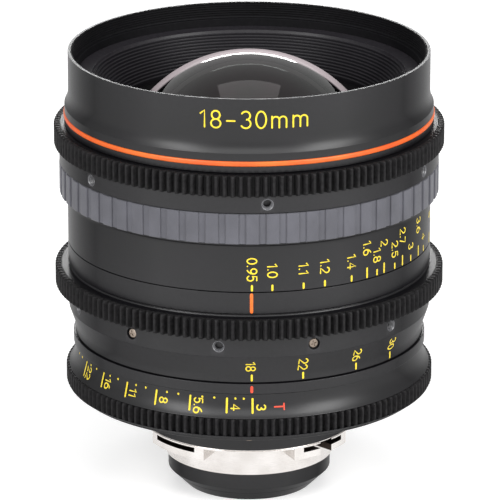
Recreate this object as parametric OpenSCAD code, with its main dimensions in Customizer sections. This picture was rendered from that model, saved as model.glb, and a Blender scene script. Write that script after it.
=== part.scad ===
// Cinema zoom lens, millimetres.
// The origin is the centre of the mount's seating face, +Z runs along the optical axis to the front,
// and the index lines face -Y. Angles around the axis count from -Y, positive towards +X.
// It stands at close focus, wide end and full aperture.

/* [Hood] */
// Diameter of the front, which clamp-on accessories grip
hood_d = 114; // [112:0.5:118]
// Height of the straight front wall
hood_straight_h = 11.9; // [9:0.1:18]
// Height of the hollow curve under it
hood_flare_h = 5; // [3:0.1:8]
// Diameter of the hood's widest edge
flare_d = 116.4; // [115:0.2:122]
// Height of the band between the hollow curve and the accent ring
hood_band_h = 2.45; // [1.5:0.05:5]
// Height of the accent ring
accent_h = 1.65; // [1:0.05:3]
// Height of the band behind the accent ring
hood_skirt_h = 2; // [1.5:0.1:5]
// Wall left outside the filter thread
rim_wall = 1; // [0.6:0.1:1.6]
// Pitch of the filter thread
thread_pitch = 0.75; // [0.5:0.25:1]
// Turns of the filter thread
thread_turns = 6; // [4:1:8]

/* [Light baffle] */
// Number of steps on the baffle cone
baffle_steps = 12; // [6:1:14]
// Drop from one step to the next
step_drop = 0.77; // [0.5:0.01:0.9]
// Width of the plain ledge outside the steps
ledge_w = 5; // [3:0.1:6]

/* [Barrel] */
// Diameter of the fixed barrel that the rings turn on
journal_d = 107.8; // [106:0.2:108.4]
// Wall of the fixed barrel
barrel_wall = 3.4; // [2.6:0.1:4]
// Wall of the cam tube
cam_wall = 2.45; // [1.8:0.05:3]
// Radial clearance of each turning or sliding fit
run_fit = 0.05; // [0.02:0.01:0.08]
// Gap between the ends of neighbouring rings
ring_gap = 0.3; // [0.2:0.05:0.5]

/* [Focus ring] */
// Height of the distance scale
focus_scale_h = 14.7; // [10:0.1:20]
// Height of the shoulder under the grip
shoulder_h = 1; // [0.6:0.1:2]
// Height of the rubber grip
grip_h = 10.4; // [7:0.1:14]
// Height of the band with the lever holes
focus_band_h = 5.4; // [4.4:0.1:8]
// Height of the focus gear's teeth
focus_gear_h = 6.6; // [5:0.1:9]
// Diameter of the distance scale
scale_d = 114.9; // [114:0.1:117]
// Diameter over the rubber grip
grip_d = 120; // [118:0.2:124]
// Number of ribs on the grip
grip_ribs = 60; // [30:1:72]
// Teeth of the focus and zoom gears
gear_teeth = 152; // [150:1:160]
// Turn from the near stop to infinity, in degrees
focus_turn = 138; // [90:1:150]
// Lead of the focusing helix
helix_lead = 20; // [18:0.5:22]

/* [Zoom ring] */
// Height of the zoom ring's lower scale band
zoom_scale_h = 2.7; // [2:0.1:5]
// Height of the tapered band with the numbers
zoom_cone_h = 6.1; // [4:0.1:9]
// Height of the band with the lever holes
zoom_band_h = 6.8; // [6:0.1:9]
// Height of the zoom gear's teeth
zoom_gear_h = 6.5; // [5:0.1:9]
// Height of the lip above the zoom gear
zoom_lip_h = 0.7; // [0.5:0.1:2]
// Diameter of the zoom ring's band
zoom_band_d = 114.8; // [114:0.1:117]
// Diameter of the zoom ring's lower band
zoom_scale_d = 110.6; // [110.2:0.1:112]
// Turn from the wide end to the long end, in degrees
zoom_turn = 53; // [40:1:60]
// Travel of the variator from the wide end to the long end
variator_travel = 11; // [7:0.5:12]
// Travel of the compensator from the wide end to the long end
compensator_travel = 3; // [2:0.25:4]

/* [Fixed index rings] */
// Height of the focus index ring
focus_index_h = 6.8; // [4:0.1:9]
// Height of the iris index ring
iris_index_h = 3.3; // [2.5:0.1:5]
// Diameter of the iris index ring
iris_index_d = 112; // [111:0.1:114]

/* [Iris ring] */
// Height of the rim under the iris gear
iris_rim_h = 0.6; // [0.4:0.1:1.5]
// Height of the iris gear's teeth
iris_gear_h = 5.5; // [4:0.1:8]
// Height of the hollow curve with the stop scale
iris_flare_h = 7.4; // [6:0.1:10]
// Diameter at the foot of the hollow curve
iris_band_d = 115; // [114.4:0.1:116]
// Diameter of the iris ring's upper edge
iris_top_d = 110.4; // [110:0.1:111]
// Teeth of the iris gear
iris_teeth = 144; // [143:1:150]
// Turn from full aperture to the smallest stop, in degrees
iris_turn = 67; // [40:1:70]
// Number of iris blades
blade_count = 9; // [7:1:9]

/* [Gears] */
// Module of the three gears
gear_module = 0.8; // [0.79:0.01:0.82]
// Pressure angle of the gears, in degrees
pressure_angle = 20; // [14.5:0.5:25]

/* [Mount] */
// Diameter of the spigot that enters the camera
spigot_d = 54; // [53:0.1:55]
// Length of the spigot behind the seating face
spigot_h = 6.3; // [5:0.1:8]
// Diameter over the four lugs
lug_d = 68; // [66:0.2:70]
// Thickness of the lugs
lug_h = 2.3; // [2:0.1:3]
// Angle that one lug covers, in degrees
lug_angle = 40; // [30:1:44]
// Height from the seating face to the base
neck_h = 4.4; // [4:0.1:6]
// Diameter of the neck between the lugs
neck_d = 56; // [55.4:0.1:58]
// Width of the index notch in the lug
notch_w = 5; // [4:0.1:6]

/* [Rear] */
// Diameter of the base
base_d = 68; // [66:0.5:72]
// Height of the base
base_h = 9.4; // [8:0.1:14]
// Thickness of the web that joins the base to the barrel
web_h = 3.3; // [2.5:0.1:5]
// Diameter of the rear shroud
shroud_d = 52; // [51.4:0.1:52.6]
// Length of the shroud's straight part
shroud_h = 5.3; // [4:0.1:8]
// Length of the shroud's taper
shroud_taper_h = 5.5; // [4:0.1:8]
// Diameter of the shroud's end
shroud_end_d = 40.8; // [38:0.2:44]

/* [Glass] */
// Diameter of the front element
front_glass_d = 72; // [66:0.5:74]
// Rise of the front element's dome over its edge
dome_rise = 21.38; // [16:0.02:24]
// Middle thickness of the front element
front_glass_t = 3.5; // [2.5:0.1:5]
// Width of the front bezel outside the glass
bezel_w = 3.97; // [2.5:0.01:6]
// How far the front bezel reaches over the glass
bezel_lip = 0.8; // [0.4:0.1:1.2]

/* [Hidden] */
$fn = 120;

// Clearances and small features that several pieces share
cut = 1;                // overrun of every cut
chamfer = 0.3;
slot_fit = 0.1;         // radial clearance of a roller in its slot
end_fit = 0.35;         // clearance at the end of a travel
third = 360 / 3;
quarter = 360 / 4;
sixth = 360 / 6;

// Levels from the seating face to the rim
z_base = neck_h;
z_web = z_base + base_h;
z_barrel = z_web + web_h;
z_iris = z_barrel + ring_gap;
z_iris_gear = z_iris + iris_rim_h;
z_iris_band = z_iris_gear + iris_gear_h;
z_iris_top = z_iris_band + iris_flare_h;
z_iris_index = z_iris_top + ring_gap;
z_zoom = z_iris_index + iris_index_h + ring_gap;
z_zoom_cone = z_zoom + zoom_scale_h;
z_zoom_band = z_zoom_cone + zoom_cone_h;
z_zoom_gear = z_zoom_band + zoom_band_h;
z_zoom_lip = z_zoom_gear + zoom_gear_h;
z_zoom_top = z_zoom_lip + zoom_lip_h;
z_focus_index = z_zoom_top + ring_gap;
z_focus = z_focus_index + focus_index_h + ring_gap;
z_shoulder = z_focus + focus_scale_h;
z_grip = z_shoulder + shoulder_h;
z_focus_band = z_grip + grip_h;
z_focus_gear = z_focus_band + focus_band_h;
z_focus_top = z_focus_gear + focus_gear_h;
z_hood = z_focus_top + ring_gap;
z_accent = z_hood + hood_skirt_h;
z_hood_band = z_accent + accent_h;
z_flare = z_hood_band + hood_band_h;
z_straight = z_flare + hood_flare_h;
z_rim = z_straight + hood_straight_h;

// Radii of the barrel and what turns on it or in it
r_journal = journal_d / 2;
r_bore = r_journal - barrel_wall;
r_cam = r_bore - run_fit;
r_cam_bore = r_cam - cam_wall;
r_slide = r_cam_bore - run_fit;
r_ring_bore = r_journal + run_fit;
r_land = r_bore - run_fit;

// Radii of the outer surfaces
r_hood = hood_d / 2;
r_flare = flare_d / 2;
r_scale = scale_d / 2;
r_grip = grip_d / 2;
r_zoom_band = zoom_band_d / 2;
r_zoom_scale = zoom_scale_d / 2;
r_iris_index = iris_index_d / 2;
r_iris_band = iris_band_d / 2;
r_iris_top = iris_top_d / 2;

// Gears
function pitch_r(teeth) = gear_module * teeth / 2;
full_depth_share = 2.25;
tooth_depth = full_depth_share * gear_module;
tooth_chamfer = gear_module / 2;
function root_r(teeth) = pitch_r(teeth) + gear_module - tooth_depth;
function tip_r(teeth) = pitch_r(teeth) + gear_module;

// Followers: each is a roller on a pressed-in shank
roller_r = 2;
shank_r = 1.4;
roller_slot_w = 2 * (roller_r + slot_fit);
roller_run = roller_r + slot_fit + end_fit;
follower_head_gap = 0.5;

// Focusing helix: three slots in the focus sleeve, three straight slots in the barrel
sleeve_wall = 2.45;
r_sleeve = r_ring_bore + sleeve_wall;
focus_travel = helix_lead * focus_turn / 360;
focus_lever_a = 5.4;         // first lever hole of the focus ring
focus_lever_seat = 0.15;     // the band's height over the roots of the teeth
stop_a = 180;
stop_reach = 1.6;
front_land_h = 17;
front_follower_a = 20;
grip_seat_wall = 1.2;        // of the lever ring under the grip
r_grip_seat = r_sleeve + grip_seat_wall;
groove_a = -2;               // first groove of the grip
groove_w = 2.2;
groove_depth = 0.6;
grip_end = 0.4;
barrel_slot_a = 35;          // variator's first follower
compensator_a = barrel_slot_a + sixth;

// Zoom drive: pins from the zoom sleeve through windows in the barrel to the cam tube
zoom_sleeve_wall = 1.05;
r_zoom_sleeve = r_ring_bore + zoom_sleeve_wall;
zoom_lever_a = -9.5;         // first lever hole of the zoom ring
zoom_screw_a = 20.5;
z_zoom_lever = z_zoom_band + zoom_band_h / 2;
z_focus_lever = z_focus_band + focus_band_h / 2;
drive_pin_r = 1.5;
drive_pin_a = -24.5;
window_w = 2 * (drive_pin_r + slot_fit);
slot_bridge = 1.4;           // wall left between slots in the barrel

// Variator and compensator cells
variator_h = 11;
compensator_h = 9;
guide_w = 3.6;
hub_w = 2.6;
web_seat = 0.4;              // of a cell's web beyond the shanks on each side
r_variator_glass = 24;
r_compensator_glass = 21;
z_variator = z_zoom_lever + window_w / 2 + slot_bridge + roller_run;
z_compensator = z_zoom_lever - window_w / 2 - slot_bridge - roller_run;
z_cam_top = z_variator + variator_h / 2 + variator_travel + 2 * end_fit;
z_cam_foot = z_compensator - compensator_h / 2 - compensator_travel - end_fit;
cam_shelf_h = 1.6;
cam_shelf_w = 4.2;
z_shelf = z_cam_foot - run_fit;
cam_ring_h = 1.7;
z_cam_ring = z_cam_top + ring_gap;

// Front group
z_land = z_cam_ring + cam_ring_h + focus_travel + end_fit;
z_front_follower = z_land + front_land_h / 2;

// Hood interior
thread_depth = 0.4;
r_thread = r_hood - rim_wall;
r_thread_crest = r_thread - thread_depth;
thread_lead_in = 0.2;
ridge_h = 0.3;
z_thread_end = z_rim - thread_lead_in - thread_turns * thread_pitch - ridge_h;
mouth_step = 1.6;
r_mouth = r_thread_crest - mouth_step;
mouth_h = 2.5;
z_ledge = z_thread_end - mouth_h;
baffle_t = 1.6;
shelf_w = 1.6;
hood_overlap_h = 7.2;        // how far the barrel reaches into the hood
z_barrel_top = z_hood + hood_overlap_h;
thread_shares = [[0, 0], [0, 0.25], [1, 0.5], [1, 0.75]];
hood_screw_r = 0.7;
z_hood_screw = (z_accent + z_hood_band) / 2;
accent_proud = 0.3;
accent_wall = 1.2;
r_accent_seat = r_flare - accent_wall;

// Front cell around its glass, and the baffle around the cell
r_front_glass = front_glass_d / 2;
r_bezel_opening = r_front_glass - bezel_lip;
r_bezel = r_front_glass + bezel_w;
bezel_wall = 1;              // of the cell around the bezel
r_cell = r_bezel + bezel_wall;
throat_gap = 0.4;
r_throat = r_cell + throat_gap;
ledge_drop = 1.2;
lip_w = 1;
lip_drop = 1.5;
r_steps = r_mouth - ledge_w;
z_steps = z_ledge - ledge_drop;
step_w = (r_steps - r_throat - lip_w / 2) / (baffle_steps - 1 / 2);
z_throat = z_steps - baffle_steps * step_drop - lip_drop / 2;
z_cell = z_throat - chamfer;
bezel_h = 2.8;
bezel_rake_h = 2.5;
glass_gap = 0.05;            // between a retaining ring and the curved glass it holds
dome_radius = (r_front_glass ^ 2 + dome_rise ^ 2) / 2 / dome_rise;
z_dome_edge = z_cell - bezel_h - glass_gap - sphere_drop(dome_radius, r_bezel_opening, r_front_glass);
z_dome = z_dome_edge - sqrt(dome_radius ^ 2 - r_front_glass ^ 2);
front_edge_h = 3.6;
z_front_seat = z_dome_edge - front_edge_h;
front_hollow_share = 0.8;    // hollow side's radius as a share of the dome's
r_front_hollow = dome_radius * front_hollow_share;
cell_wall = 2.2;
r_second = r_front_glass - cell_wall;
r_third = r_second - cell_wall;
cell_web_h = 4;
second_h = 6;
third_h = 6.5;
front_dome_share = 4;        // curves of the second and third elements as shares of their radius
front_bowl_share = 3;
seat_w = 2;
seat_h = 1.2;
z_third = z_land + seat_h;
z_second = z_third + third_h + seat_h;

// Glass of the moving groups; curves as shares of the glass's radius
z_variator_glass = z_variator - variator_h / 2 + seat_h;
variator_glass_h = (variator_h - seat_h) / 2;
z_compensator_glass = z_compensator - compensator_h / 2 + seat_h;
compensator_glass_h = 6.3;
moving_dome_share = 3;
moving_bowl_share = 2.8;

// Iris unit inside the base's inner tube
tube_wall = 2.8;
iris_floor_h = 3.6;          // from the iris ring's foot to the seat of the iris plate
z_iris_floor = z_iris + iris_floor_h;
iris_plate_h = 1.5;
blade_t = 0.12;
blade_pitch = 0.3;
blade_gap = 0.4;
iris_cam_h = 3;
iris_cover_h = 1.5;
z_blades = z_iris_floor + iris_plate_h + blade_gap;
z_iris_cam = z_blades + blade_count * blade_pitch + blade_gap;
z_iris_cover = z_iris_cam + iris_cam_h + blade_gap;
z_tube_top = z_iris_cover + iris_cover_h;
r_open = 17.2;
blade_pivot_r = 27;
iris_rim_w = 4.2;            // from the pivots to the tube around the blades
r_iris_bore = blade_pivot_r + iris_rim_w;
r_tube = r_iris_bore + tube_wall;
blade_band_w = 8.2;
blade_arc = 96;
blade_pin_r = 0.6;
blade_tab_r = 1.6;
blade_pin_fit = 0.05;
blade_turn = 32.7;           // degrees that a blade swings over the iris ring's whole turn
blade_cam_a = 22;            // from a blade's pivot to its cam pin, in degrees around the axis
blade_slot_fit = 0.15;
blade_slot_steps = 8;
iris_pin_r = 1.5;
iris_pin_seat = 2.6;         // depth of the coupling pin in the cam ring
iris_pin_hold = 0.8;         // and in the iris ring
iris_pin_a = 147;
z_iris_pin = z_iris_cam + iris_cam_h / 2;
iris_window_w = 2 * (iris_pin_r + slot_fit);

// Rear group
mount_wall = 2.4;
r_spigot = spigot_d / 2;
r_rear_cell = r_spigot - mount_wall;
rear_cell_wall = 3;
r_rear_glass = r_rear_cell - rear_cell_wall;
z_shroud_taper = -spigot_h - shroud_h;
z_end = z_shroud_taper - shroud_taper_h;
shroud_wall = 1.4;
z_rear_cell = z_shroud_taper;
rear_flange_w = 4;
rear_flange_h = 1.5;
rear_glass_h = 6;
rear_ring_h = 1.5;
rear_cell_gap = 0.5;
z_rear_top = z_iris_floor - rear_flange_h - rear_cell_gap;
rear_spacer_w = 1.6;
z_rear_glass = z_rear_cell + rear_ring_h;
rear_dome_share = 2.6;       // curves of the rear elements as shares of their radius
rear_hollow_share = 3.2;
rear_gap = 3;

// Mount
shim_h = 0.3;
plate_h = 0.8;
lug_a = 45;
pocket_share = 0.72;         // share of a lug's angle that its pocket takes
pocket_depth = 3;
notch_a = 46;

// Base
base_lip = 2.1;
base_flange_h = 1.2;
r_web = (base_d / 2 + r_bore) / 2;

// Screws
screw_r = 1;
screw_head_r = 1.9;
screw_head_h = 1.1;
base_screw_ring = (r_journal + r_bore) / 2;
base_screw_grip = 3;
base_screw_floor = 0.8;
z_base_head = z_barrel - base_screw_floor - screw_head_h;
mount_screw_ring = (neck_d / 2 + r_rear_cell) / 2;
mount_screw_depth = 3.4;
mount_screw_grip = 4;
mount_head_r = 1.6;
lever_hole_r = 1.5;
lever_hole_rim = 0.35;

BLACK = [0.13, 0.13, 0.14];
DARK = [0.08, 0.08, 0.09];
GREY = [0.38, 0.38, 0.42];
STEEL = [0.82, 0.8, 0.78];
BRASS = [0.78, 0.62, 0.32];
ORANGE = [0.95, 0.5, 0.12];
GLASS = [0.35, 0.5, 0.48, 0.5];

blade_names = [for (i = [1:blade_count]) str("iris_blade_", i)];

// Height lost on a sphere between two distances from its axis
function sphere_drop(radius, near, far) = sqrt(radius ^ 2 - near ^ 2) - sqrt(radius ^ 2 - far ^ 2);

// Points of a smooth curve from a to c, drawn towards b
function bend(a, b, c, steps = 8) =
    [for (i = [0:steps]) let (t = i / steps) (1 - t) ^ 2 * a + 2 * t * (1 - t) * b + t ^ 2 * c];

module turned(points) rotate_extrude() polygon(points);

module tube(r_out, r_in, z_low, z_high)
    turned([[r_in, z_low], [r_out, z_low], [r_out, z_high], [r_in, z_high]]);

// Puts its children at an angle and a level, with their +Z pointing out of the barrel
module radial(angle, z) rotate([0, 0, angle]) translate([0, 0, z]) rotate([90, 0, 0]) children();

module radial_pin(angle, z, r, r_in, r_out)
    radial(angle, z) translate([0, 0, r_in]) cylinder(r = r, h = r_out - r_in);

// Repeats its children around the axis
module around(count, first = 0)
    for (i = [0:count - 1]) rotate([0, 0, first + i * 360 / count]) children();

// Straight slot along the axis for a roller that rests at z and moves by travel
module guide_slot(angle, z, travel, r_in, r_out) {
    low = min(z, z + travel) - end_fit;
    high = max(z, z + travel) + end_fit;
    radial(angle, low) translate([0, 0, r_in]) linear_extrude(r_out - r_in) union() {
        circle(roller_slot_w / 2);
        translate([0, high - low]) circle(roller_slot_w / 2);
        translate([-roller_slot_w / 2, 0]) square([roller_slot_w, high - low]);
    }
}

// Slot that runs round and along the barrel at a steady slope, from one angle and level to another
module helix_slot(a_from, z_from, a_to, z_to, r_in, r_out, pieces) {
    r_mid = (r_in + r_out) / 2;
    rise = z_to - z_from;
    run = r_mid * (a_to - a_from) * PI / 180;
    slope = atan(rise / run);
    piece = norm([rise, run]) / pieces;
    for (i = [0:pieces - 1]) {
        t = (i + 0.5) / pieces;
        radial(a_from + t * (a_to - a_from), z_from + t * rise) rotate([0, 0, slope])
            translate([-piece / 2 - slot_fit, -roller_slot_w / 2, r_in])
            cube([piece + 2 * slot_fit, roller_slot_w, r_out - r_in]);
    }
    radial_pin(a_from, z_from, roller_slot_w / 2, r_in, r_out);
    radial_pin(a_to, z_to, roller_slot_w / 2, r_in, r_out);
}

// Slot round the barrel at one level, between two angles, for a pin
module window(a_from, a_to, z, width, r_in, r_out) {
    margin = asin(width / 2 / r_in);
    rotate([0, 0, a_from - margin - 90])
        rotate_extrude(angle = a_to - a_from + 2 * margin)
        translate([r_in, z - width / 2]) square([r_out - r_in, width]);
}

// Toothed ring blank from one level to another, with both ends of the teeth chamfered
module gear_blank(teeth, z_low, z_high) {
    flank = tan(pressure_angle) * 180 / PI;
    tip_a = 90 / teeth - flank * gear_module / pitch_r(teeth);
    root_a = 90 / teeth + flank * (tooth_depth - gear_module) / pitch_r(teeth);
    outline = [for (i = [0:teeth - 1], side = [-1, 1], p = side < 0 ? [0, 1] : [1, 0])
        let (a = i * 360 / teeth + side * (p == 0 ? root_a : tip_a),
             r = p == 0 ? root_r(teeth) : tip_r(teeth))
        [r * sin(a), -r * cos(a)]];
    intersection() {
        translate([0, 0, z_low]) linear_extrude(z_high - z_low) polygon(outline);
        turned([[0, z_low], [tip_r(teeth) - tooth_chamfer, z_low], [tip_r(teeth), z_low + tooth_chamfer],
            [tip_r(teeth), z_high - tooth_chamfer], [tip_r(teeth) - tooth_chamfer, z_high], [0, z_high]]);
    }
}

// Tapped hole with a chamfered mouth
module lever_hole(angle, z, r_in, r_out) {
    radial_pin(angle, z, lever_hole_r, r_in, r_out + cut);
    radial(angle, z) translate([0, 0, r_out - lever_hole_rim])
        cylinder(r1 = lever_hole_r, r2 = lever_hole_r + cut + lever_hole_rim, h = lever_hole_rim + cut);
}

// Lens element: a round of glass between two spheres, each given by its radius and its own middle level
module lens(r, z_low, z_high, dome, hollow)
    difference() {
        intersection() {
            translate([0, 0, z_low]) cylinder(r = r, h = z_high - z_low);
            translate([0, 0, z_high - dome]) sphere(r = dome);
        }
        translate([0, 0, z_low + (z_high - z_low) / 3 - hollow]) sphere(r = hollow);
    }

// Roller followers pressed into a cell
module followers(first, z, r_in, r_seat, r_out)
    for (i = [0:2]) {
        radial_pin(first + i * third, z, shank_r, r_in, r_seat);
        radial_pin(first + i * third, z, roller_r, r_seat, r_out);
    }

module follower_holes(first, z, r_in, r_out)
    for (i = [0:2]) radial_pin(first + i * third, z, shank_r, r_in, r_out + cut);

// Outer front shell with the filter thread
module front_hood() color(BLACK) difference() {
    turned(concat(
        [[r_journal, z_hood], [r_flare - chamfer, z_hood], [r_flare, z_hood + chamfer], [r_flare, z_accent],
         [r_accent_seat, z_accent], [r_accent_seat, z_hood_band], [r_flare, z_hood_band]],
        bend([r_flare, z_flare], [r_hood, z_flare + hood_flare_h / 3], [r_hood, z_straight]),
        [[r_hood, z_rim - chamfer], [r_hood - chamfer, z_rim], [r_thread, z_rim]],
        [for (i = [0:thread_turns - 1], p = thread_shares)
            [r_thread_crest + p[0] * thread_depth, z_rim - thread_lead_in - (i + p[1]) * thread_pitch]],
        [[r_thread_crest, z_thread_end + ridge_h], [r_thread_crest, z_thread_end], [r_mouth, z_thread_end],
         [r_mouth, z_ledge - baffle_t], [r_mouth - shelf_w, z_ledge - baffle_t],
         [r_mouth - shelf_w, z_barrel_top], [r_journal, z_barrel_top]]));
    for (i = [0:5]) hood_screw_space(i * sixth);
}

module hood_screw_space(angle)
    radial_pin(angle, z_hood_screw, hood_screw_r, r_bore - cut, r_accent_seat + chamfer);

// Screws that pin the hood to the barrel, under the accent ring
module hood_screws() color(DARK)
    around(6) radial_pin(0, z_hood_screw, hood_screw_r, r_bore + chamfer, r_accent_seat);

// Coloured ring in the hood's groove
module accent_ring() color(ORANGE)
    turned([[r_accent_seat, z_accent], [r_flare, z_accent], [r_flare + accent_proud, z_accent + chamfer],
        [r_flare + accent_proud, z_hood_band - chamfer], [r_flare, z_hood_band],
        [r_accent_seat, z_hood_band]]);

// Stepped cone that keeps stray light off the front glass
module hood_baffle() color(DARK)
    turned(concat(
        [[r_mouth, z_ledge - baffle_t], [r_mouth, z_ledge], [r_steps, z_steps]],
        [for (i = [0:baffle_steps - 1], p = [[0, 1], [1, 1]])
            [r_steps - (i + p[0]) * step_w, z_steps - (i + p[1]) * step_drop]],
        [[r_throat, z_throat], [r_throat, z_throat - baffle_t],
         [r_steps, z_steps - baffle_t - step_drop], [r_mouth - shelf_w, z_ledge - baffle_t]]));

// Fixed barrel: journal for the rings, bore for the cam tube and the front group
module main_barrel() color(DARK) difference() {
    union() {
        tube(r_journal, r_bore, z_barrel, z_barrel_top);
        tube(r_bore + cut, r_bore - cam_shelf_w, z_shelf - cam_shelf_h, z_shelf);
    }
    for (i = [0:2]) {
        guide_slot(front_follower_a + i * third, z_front_follower, -focus_travel,
            r_bore - cut, r_journal + cut);
        guide_slot(barrel_slot_a + i * third, z_variator, variator_travel, r_bore - cut, r_journal + cut);
        guide_slot(compensator_a + i * third, z_compensator, -compensator_travel,
            r_bore - cut, r_journal + cut);
        window(drive_pin_a + i * third - zoom_turn, drive_pin_a + i * third, z_zoom_lever, window_w,
            r_bore - cut, r_journal + cut);
    }
    window(iris_pin_a, iris_pin_a + iris_turn, z_iris_pin, iris_window_w, r_bore - cut, r_journal + cut);
    for (i = [0:5]) {
        hood_screw_space(i * sixth);
        base_screw_space(i * sixth, z_barrel - cut);
    }
    radial_pin(stop_a, z_focus_gear, drive_pin_r, r_bore - cut, r_journal + cut);
}

module base_screw_space(angle, z)
    rotate([0, 0, angle]) translate([0, -base_screw_ring, z])
        cylinder(r = screw_r, h = z_barrel + base_screw_grip - z);

// Threaded ring that keeps the cam tube down
module cam_retaining_ring() color(BRASS)
    tube(r_bore, r_bore - cam_shelf_w, z_cam_ring, z_cam_ring + cam_ring_h);

module focus_index_ring() color(BLACK)
    tube(r_scale, r_journal, z_focus_index, z_focus_index + focus_index_h);

module iris_index_ring() color(BLACK)
    tube(r_iris_index, r_journal, z_iris_index, z_iris_index + iris_index_h);

// Base: seat of the mount, web to the barrel and inner tube for the iris unit
module rear_base() color(BLACK) difference() {
    r_flange = r_journal + base_lip;
    turned([[r_rear_cell, z_base], [base_d / 2 - chamfer, z_base], [base_d / 2, z_base + chamfer],
        [base_d / 2, z_web], [r_web, z_web], [r_flange - chamfer, z_barrel - base_flange_h],
        [r_flange, z_barrel - base_flange_h + chamfer], [r_flange, z_barrel],
        [r_tube, z_barrel], [r_tube, z_tube_top], [r_iris_bore, z_tube_top], [r_iris_bore, z_iris_floor],
        [r_rear_cell + rear_flange_w, z_iris_floor], [r_rear_cell + rear_flange_w, z_rear_top],
        [r_rear_cell, z_rear_top]]);
    for (i = [0:5]) {
        base_screw_space(i * sixth, z_web - cut);
        rotate([0, 0, i * sixth]) translate([0, -base_screw_ring, z_web - cut])
            cylinder(r = screw_head_r, h = cut + z_barrel - base_screw_floor - z_web);
    }
    mount_screw_spaces();
    window(iris_pin_a, iris_pin_a + iris_turn, z_iris_pin, iris_window_w, r_iris_bore - cut, r_tube + cut);
}

module base_screws() color(STEEL)
    around(6) translate([0, -base_screw_ring, 0]) {
        translate([0, 0, z_base_head]) cylinder(r = screw_head_r - slot_fit, h = screw_head_h);
        translate([0, 0, z_base_head + screw_head_h])
            cylinder(r = screw_r, h = base_screw_floor + base_screw_grip);
    }

// Shim that sets the back focus
module mount_shim() color(BRASS) difference() {
    tube(base_d / 2 - chamfer, r_rear_cell, z_base - shim_h, z_base);
    mount_screw_spaces();
}

// Spaces of the mount screws, which are driven from inside the base into the steel
module mount_screw_spaces()
    around(4) translate([0, -mount_screw_ring, z_base - mount_screw_depth]) {
        cylinder(r = screw_r, h = mount_screw_depth + mount_screw_grip);
        translate([0, 0, mount_screw_depth + mount_screw_grip]) cylinder(r = mount_head_r, h = z_rear_top);
    }

// Part of a ring, centred on an angle
module sector(r_in, r_out, middle, angle, z_low, z_high)
    rotate([0, 0, middle - 90 - angle / 2]) rotate_extrude(angle = angle)
        translate([r_in, z_low]) square([r_out - r_in, z_high - z_low]);

// Steel mount: spigot, neck, four lugs with a pocket in each, and the plate above them
module mount_flange() color(STEEL) difference() {
    z_plate = z_base - shim_h - plate_h;
    union() {
        tube(r_spigot, r_rear_cell, -spigot_h, cut);
        tube(neck_d / 2, r_rear_cell, 0, z_base - shim_h);
        tube(base_d / 2, r_rear_cell, z_plate, z_base - shim_h);
        for (i = [0:3])
            sector(neck_d / 2 - cut, lug_d / 2, lug_a + i * quarter, lug_angle, 0, z_plate + plate_h / 2);
    }
    for (i = [0:3])
        sector(lug_d / 2 - pocket_depth, lug_d / 2 + cut, lug_a + i * quarter, lug_angle * pocket_share,
            lug_h, z_plate);
    rotate([0, 0, notch_a]) translate([-notch_w / 2, -lug_d / 2 - cut, -cut])
        cube([notch_w, cut + lug_d / 2 - neck_d / 2 - 2 * chamfer, z_base + 2 * cut]);
    mount_screw_spaces();
}

module mount_screws() color(STEEL)
    around(4) translate([0, -mount_screw_ring, z_base - mount_screw_depth]) {
        cylinder(r = screw_r, h = mount_screw_depth + mount_screw_grip);
        translate([0, 0, mount_screw_depth + mount_screw_grip])
            cylinder(r = mount_head_r - slot_fit, h = screw_head_h);
    }

// Black shroud around the rear glass
module rear_shroud() color(BLACK)
    turned([[r_rear_cell, -spigot_h], [shroud_d / 2, -spigot_h], [shroud_d / 2, z_shroud_taper],
        [shroud_end_d / 2, z_end], [shroud_end_d / 2 - shroud_wall, z_end],
        [r_rear_glass, z_rear_cell], [r_rear_cell, z_rear_cell]]);

// Long cell of the fixed rear group
module rear_cell() color(DARK)
    turned([[r_rear_glass, z_rear_cell], [r_rear_cell, z_rear_cell], [r_rear_cell, z_rear_top],
        [r_rear_cell + rear_flange_w, z_rear_top],
        [r_rear_cell + rear_flange_w, z_rear_top + rear_flange_h],
        [r_rear_glass - seat_w, z_rear_top + rear_flange_h], [r_rear_glass - seat_w, z_rear_top],
        [r_rear_glass, z_rear_top]]);

// Fixed elements of the rear group
module rear_element_1() color(GLASS)
    lens(r_rear_glass, z_rear_top - rear_glass_h, z_rear_top, r_rear_glass * rear_dome_share,
        r_rear_glass * rear_hollow_share);

module rear_element_2() color(GLASS)
    lens(r_rear_glass, z_rear_top - 2 * rear_glass_h - rear_gap, z_rear_top - rear_glass_h - rear_gap,
        r_rear_glass * rear_hollow_share, r_rear_glass * rear_dome_share);

module rear_element_3() color(GLASS)
    lens(r_rear_glass, z_rear_glass, z_rear_glass + rear_glass_h, r_rear_glass * rear_dome_share,
        r_rear_glass * rear_hollow_share);

// Spacer rings that hold the rear elements apart
module rear_spacer() color(DARK) {
    r_in = r_rear_glass - rear_spacer_w;
    edge = sphere_drop(r_rear_glass * rear_hollow_share, 0, r_in) - glass_gap;
    edge_last = sphere_drop(r_rear_glass * rear_dome_share, 0, r_in) - glass_gap;
    tube(r_rear_glass, r_in, z_rear_top - rear_glass_h - rear_gap - edge, z_rear_top - rear_glass_h);
    tube(r_rear_glass, r_in, z_rear_glass + rear_glass_h - edge_last,
        z_rear_top - 2 * rear_glass_h - rear_gap);
}

module rear_retaining_ring() color(DARK)
    tube(r_rear_glass, r_rear_glass - rear_spacer_w, z_rear_cell, z_rear_glass);

// Fixed plate that carries the blades' pivots
module iris_plate() color(DARK) difference() {
    tube(r_iris_bore, r_open + chamfer, z_iris_floor, z_iris_floor + iris_plate_h);
    around(blade_count) translate([0, -blade_pivot_r, z_iris_floor - cut])
        cylinder(r = blade_pin_r + blade_pin_fit, h = iris_plate_h + 2 * cut);
}

// Ring that keeps the iris cam ring down
module iris_cover() color(DARK) tube(r_iris_bore, r_open + chamfer, z_iris_cover, z_tube_top);

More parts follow.
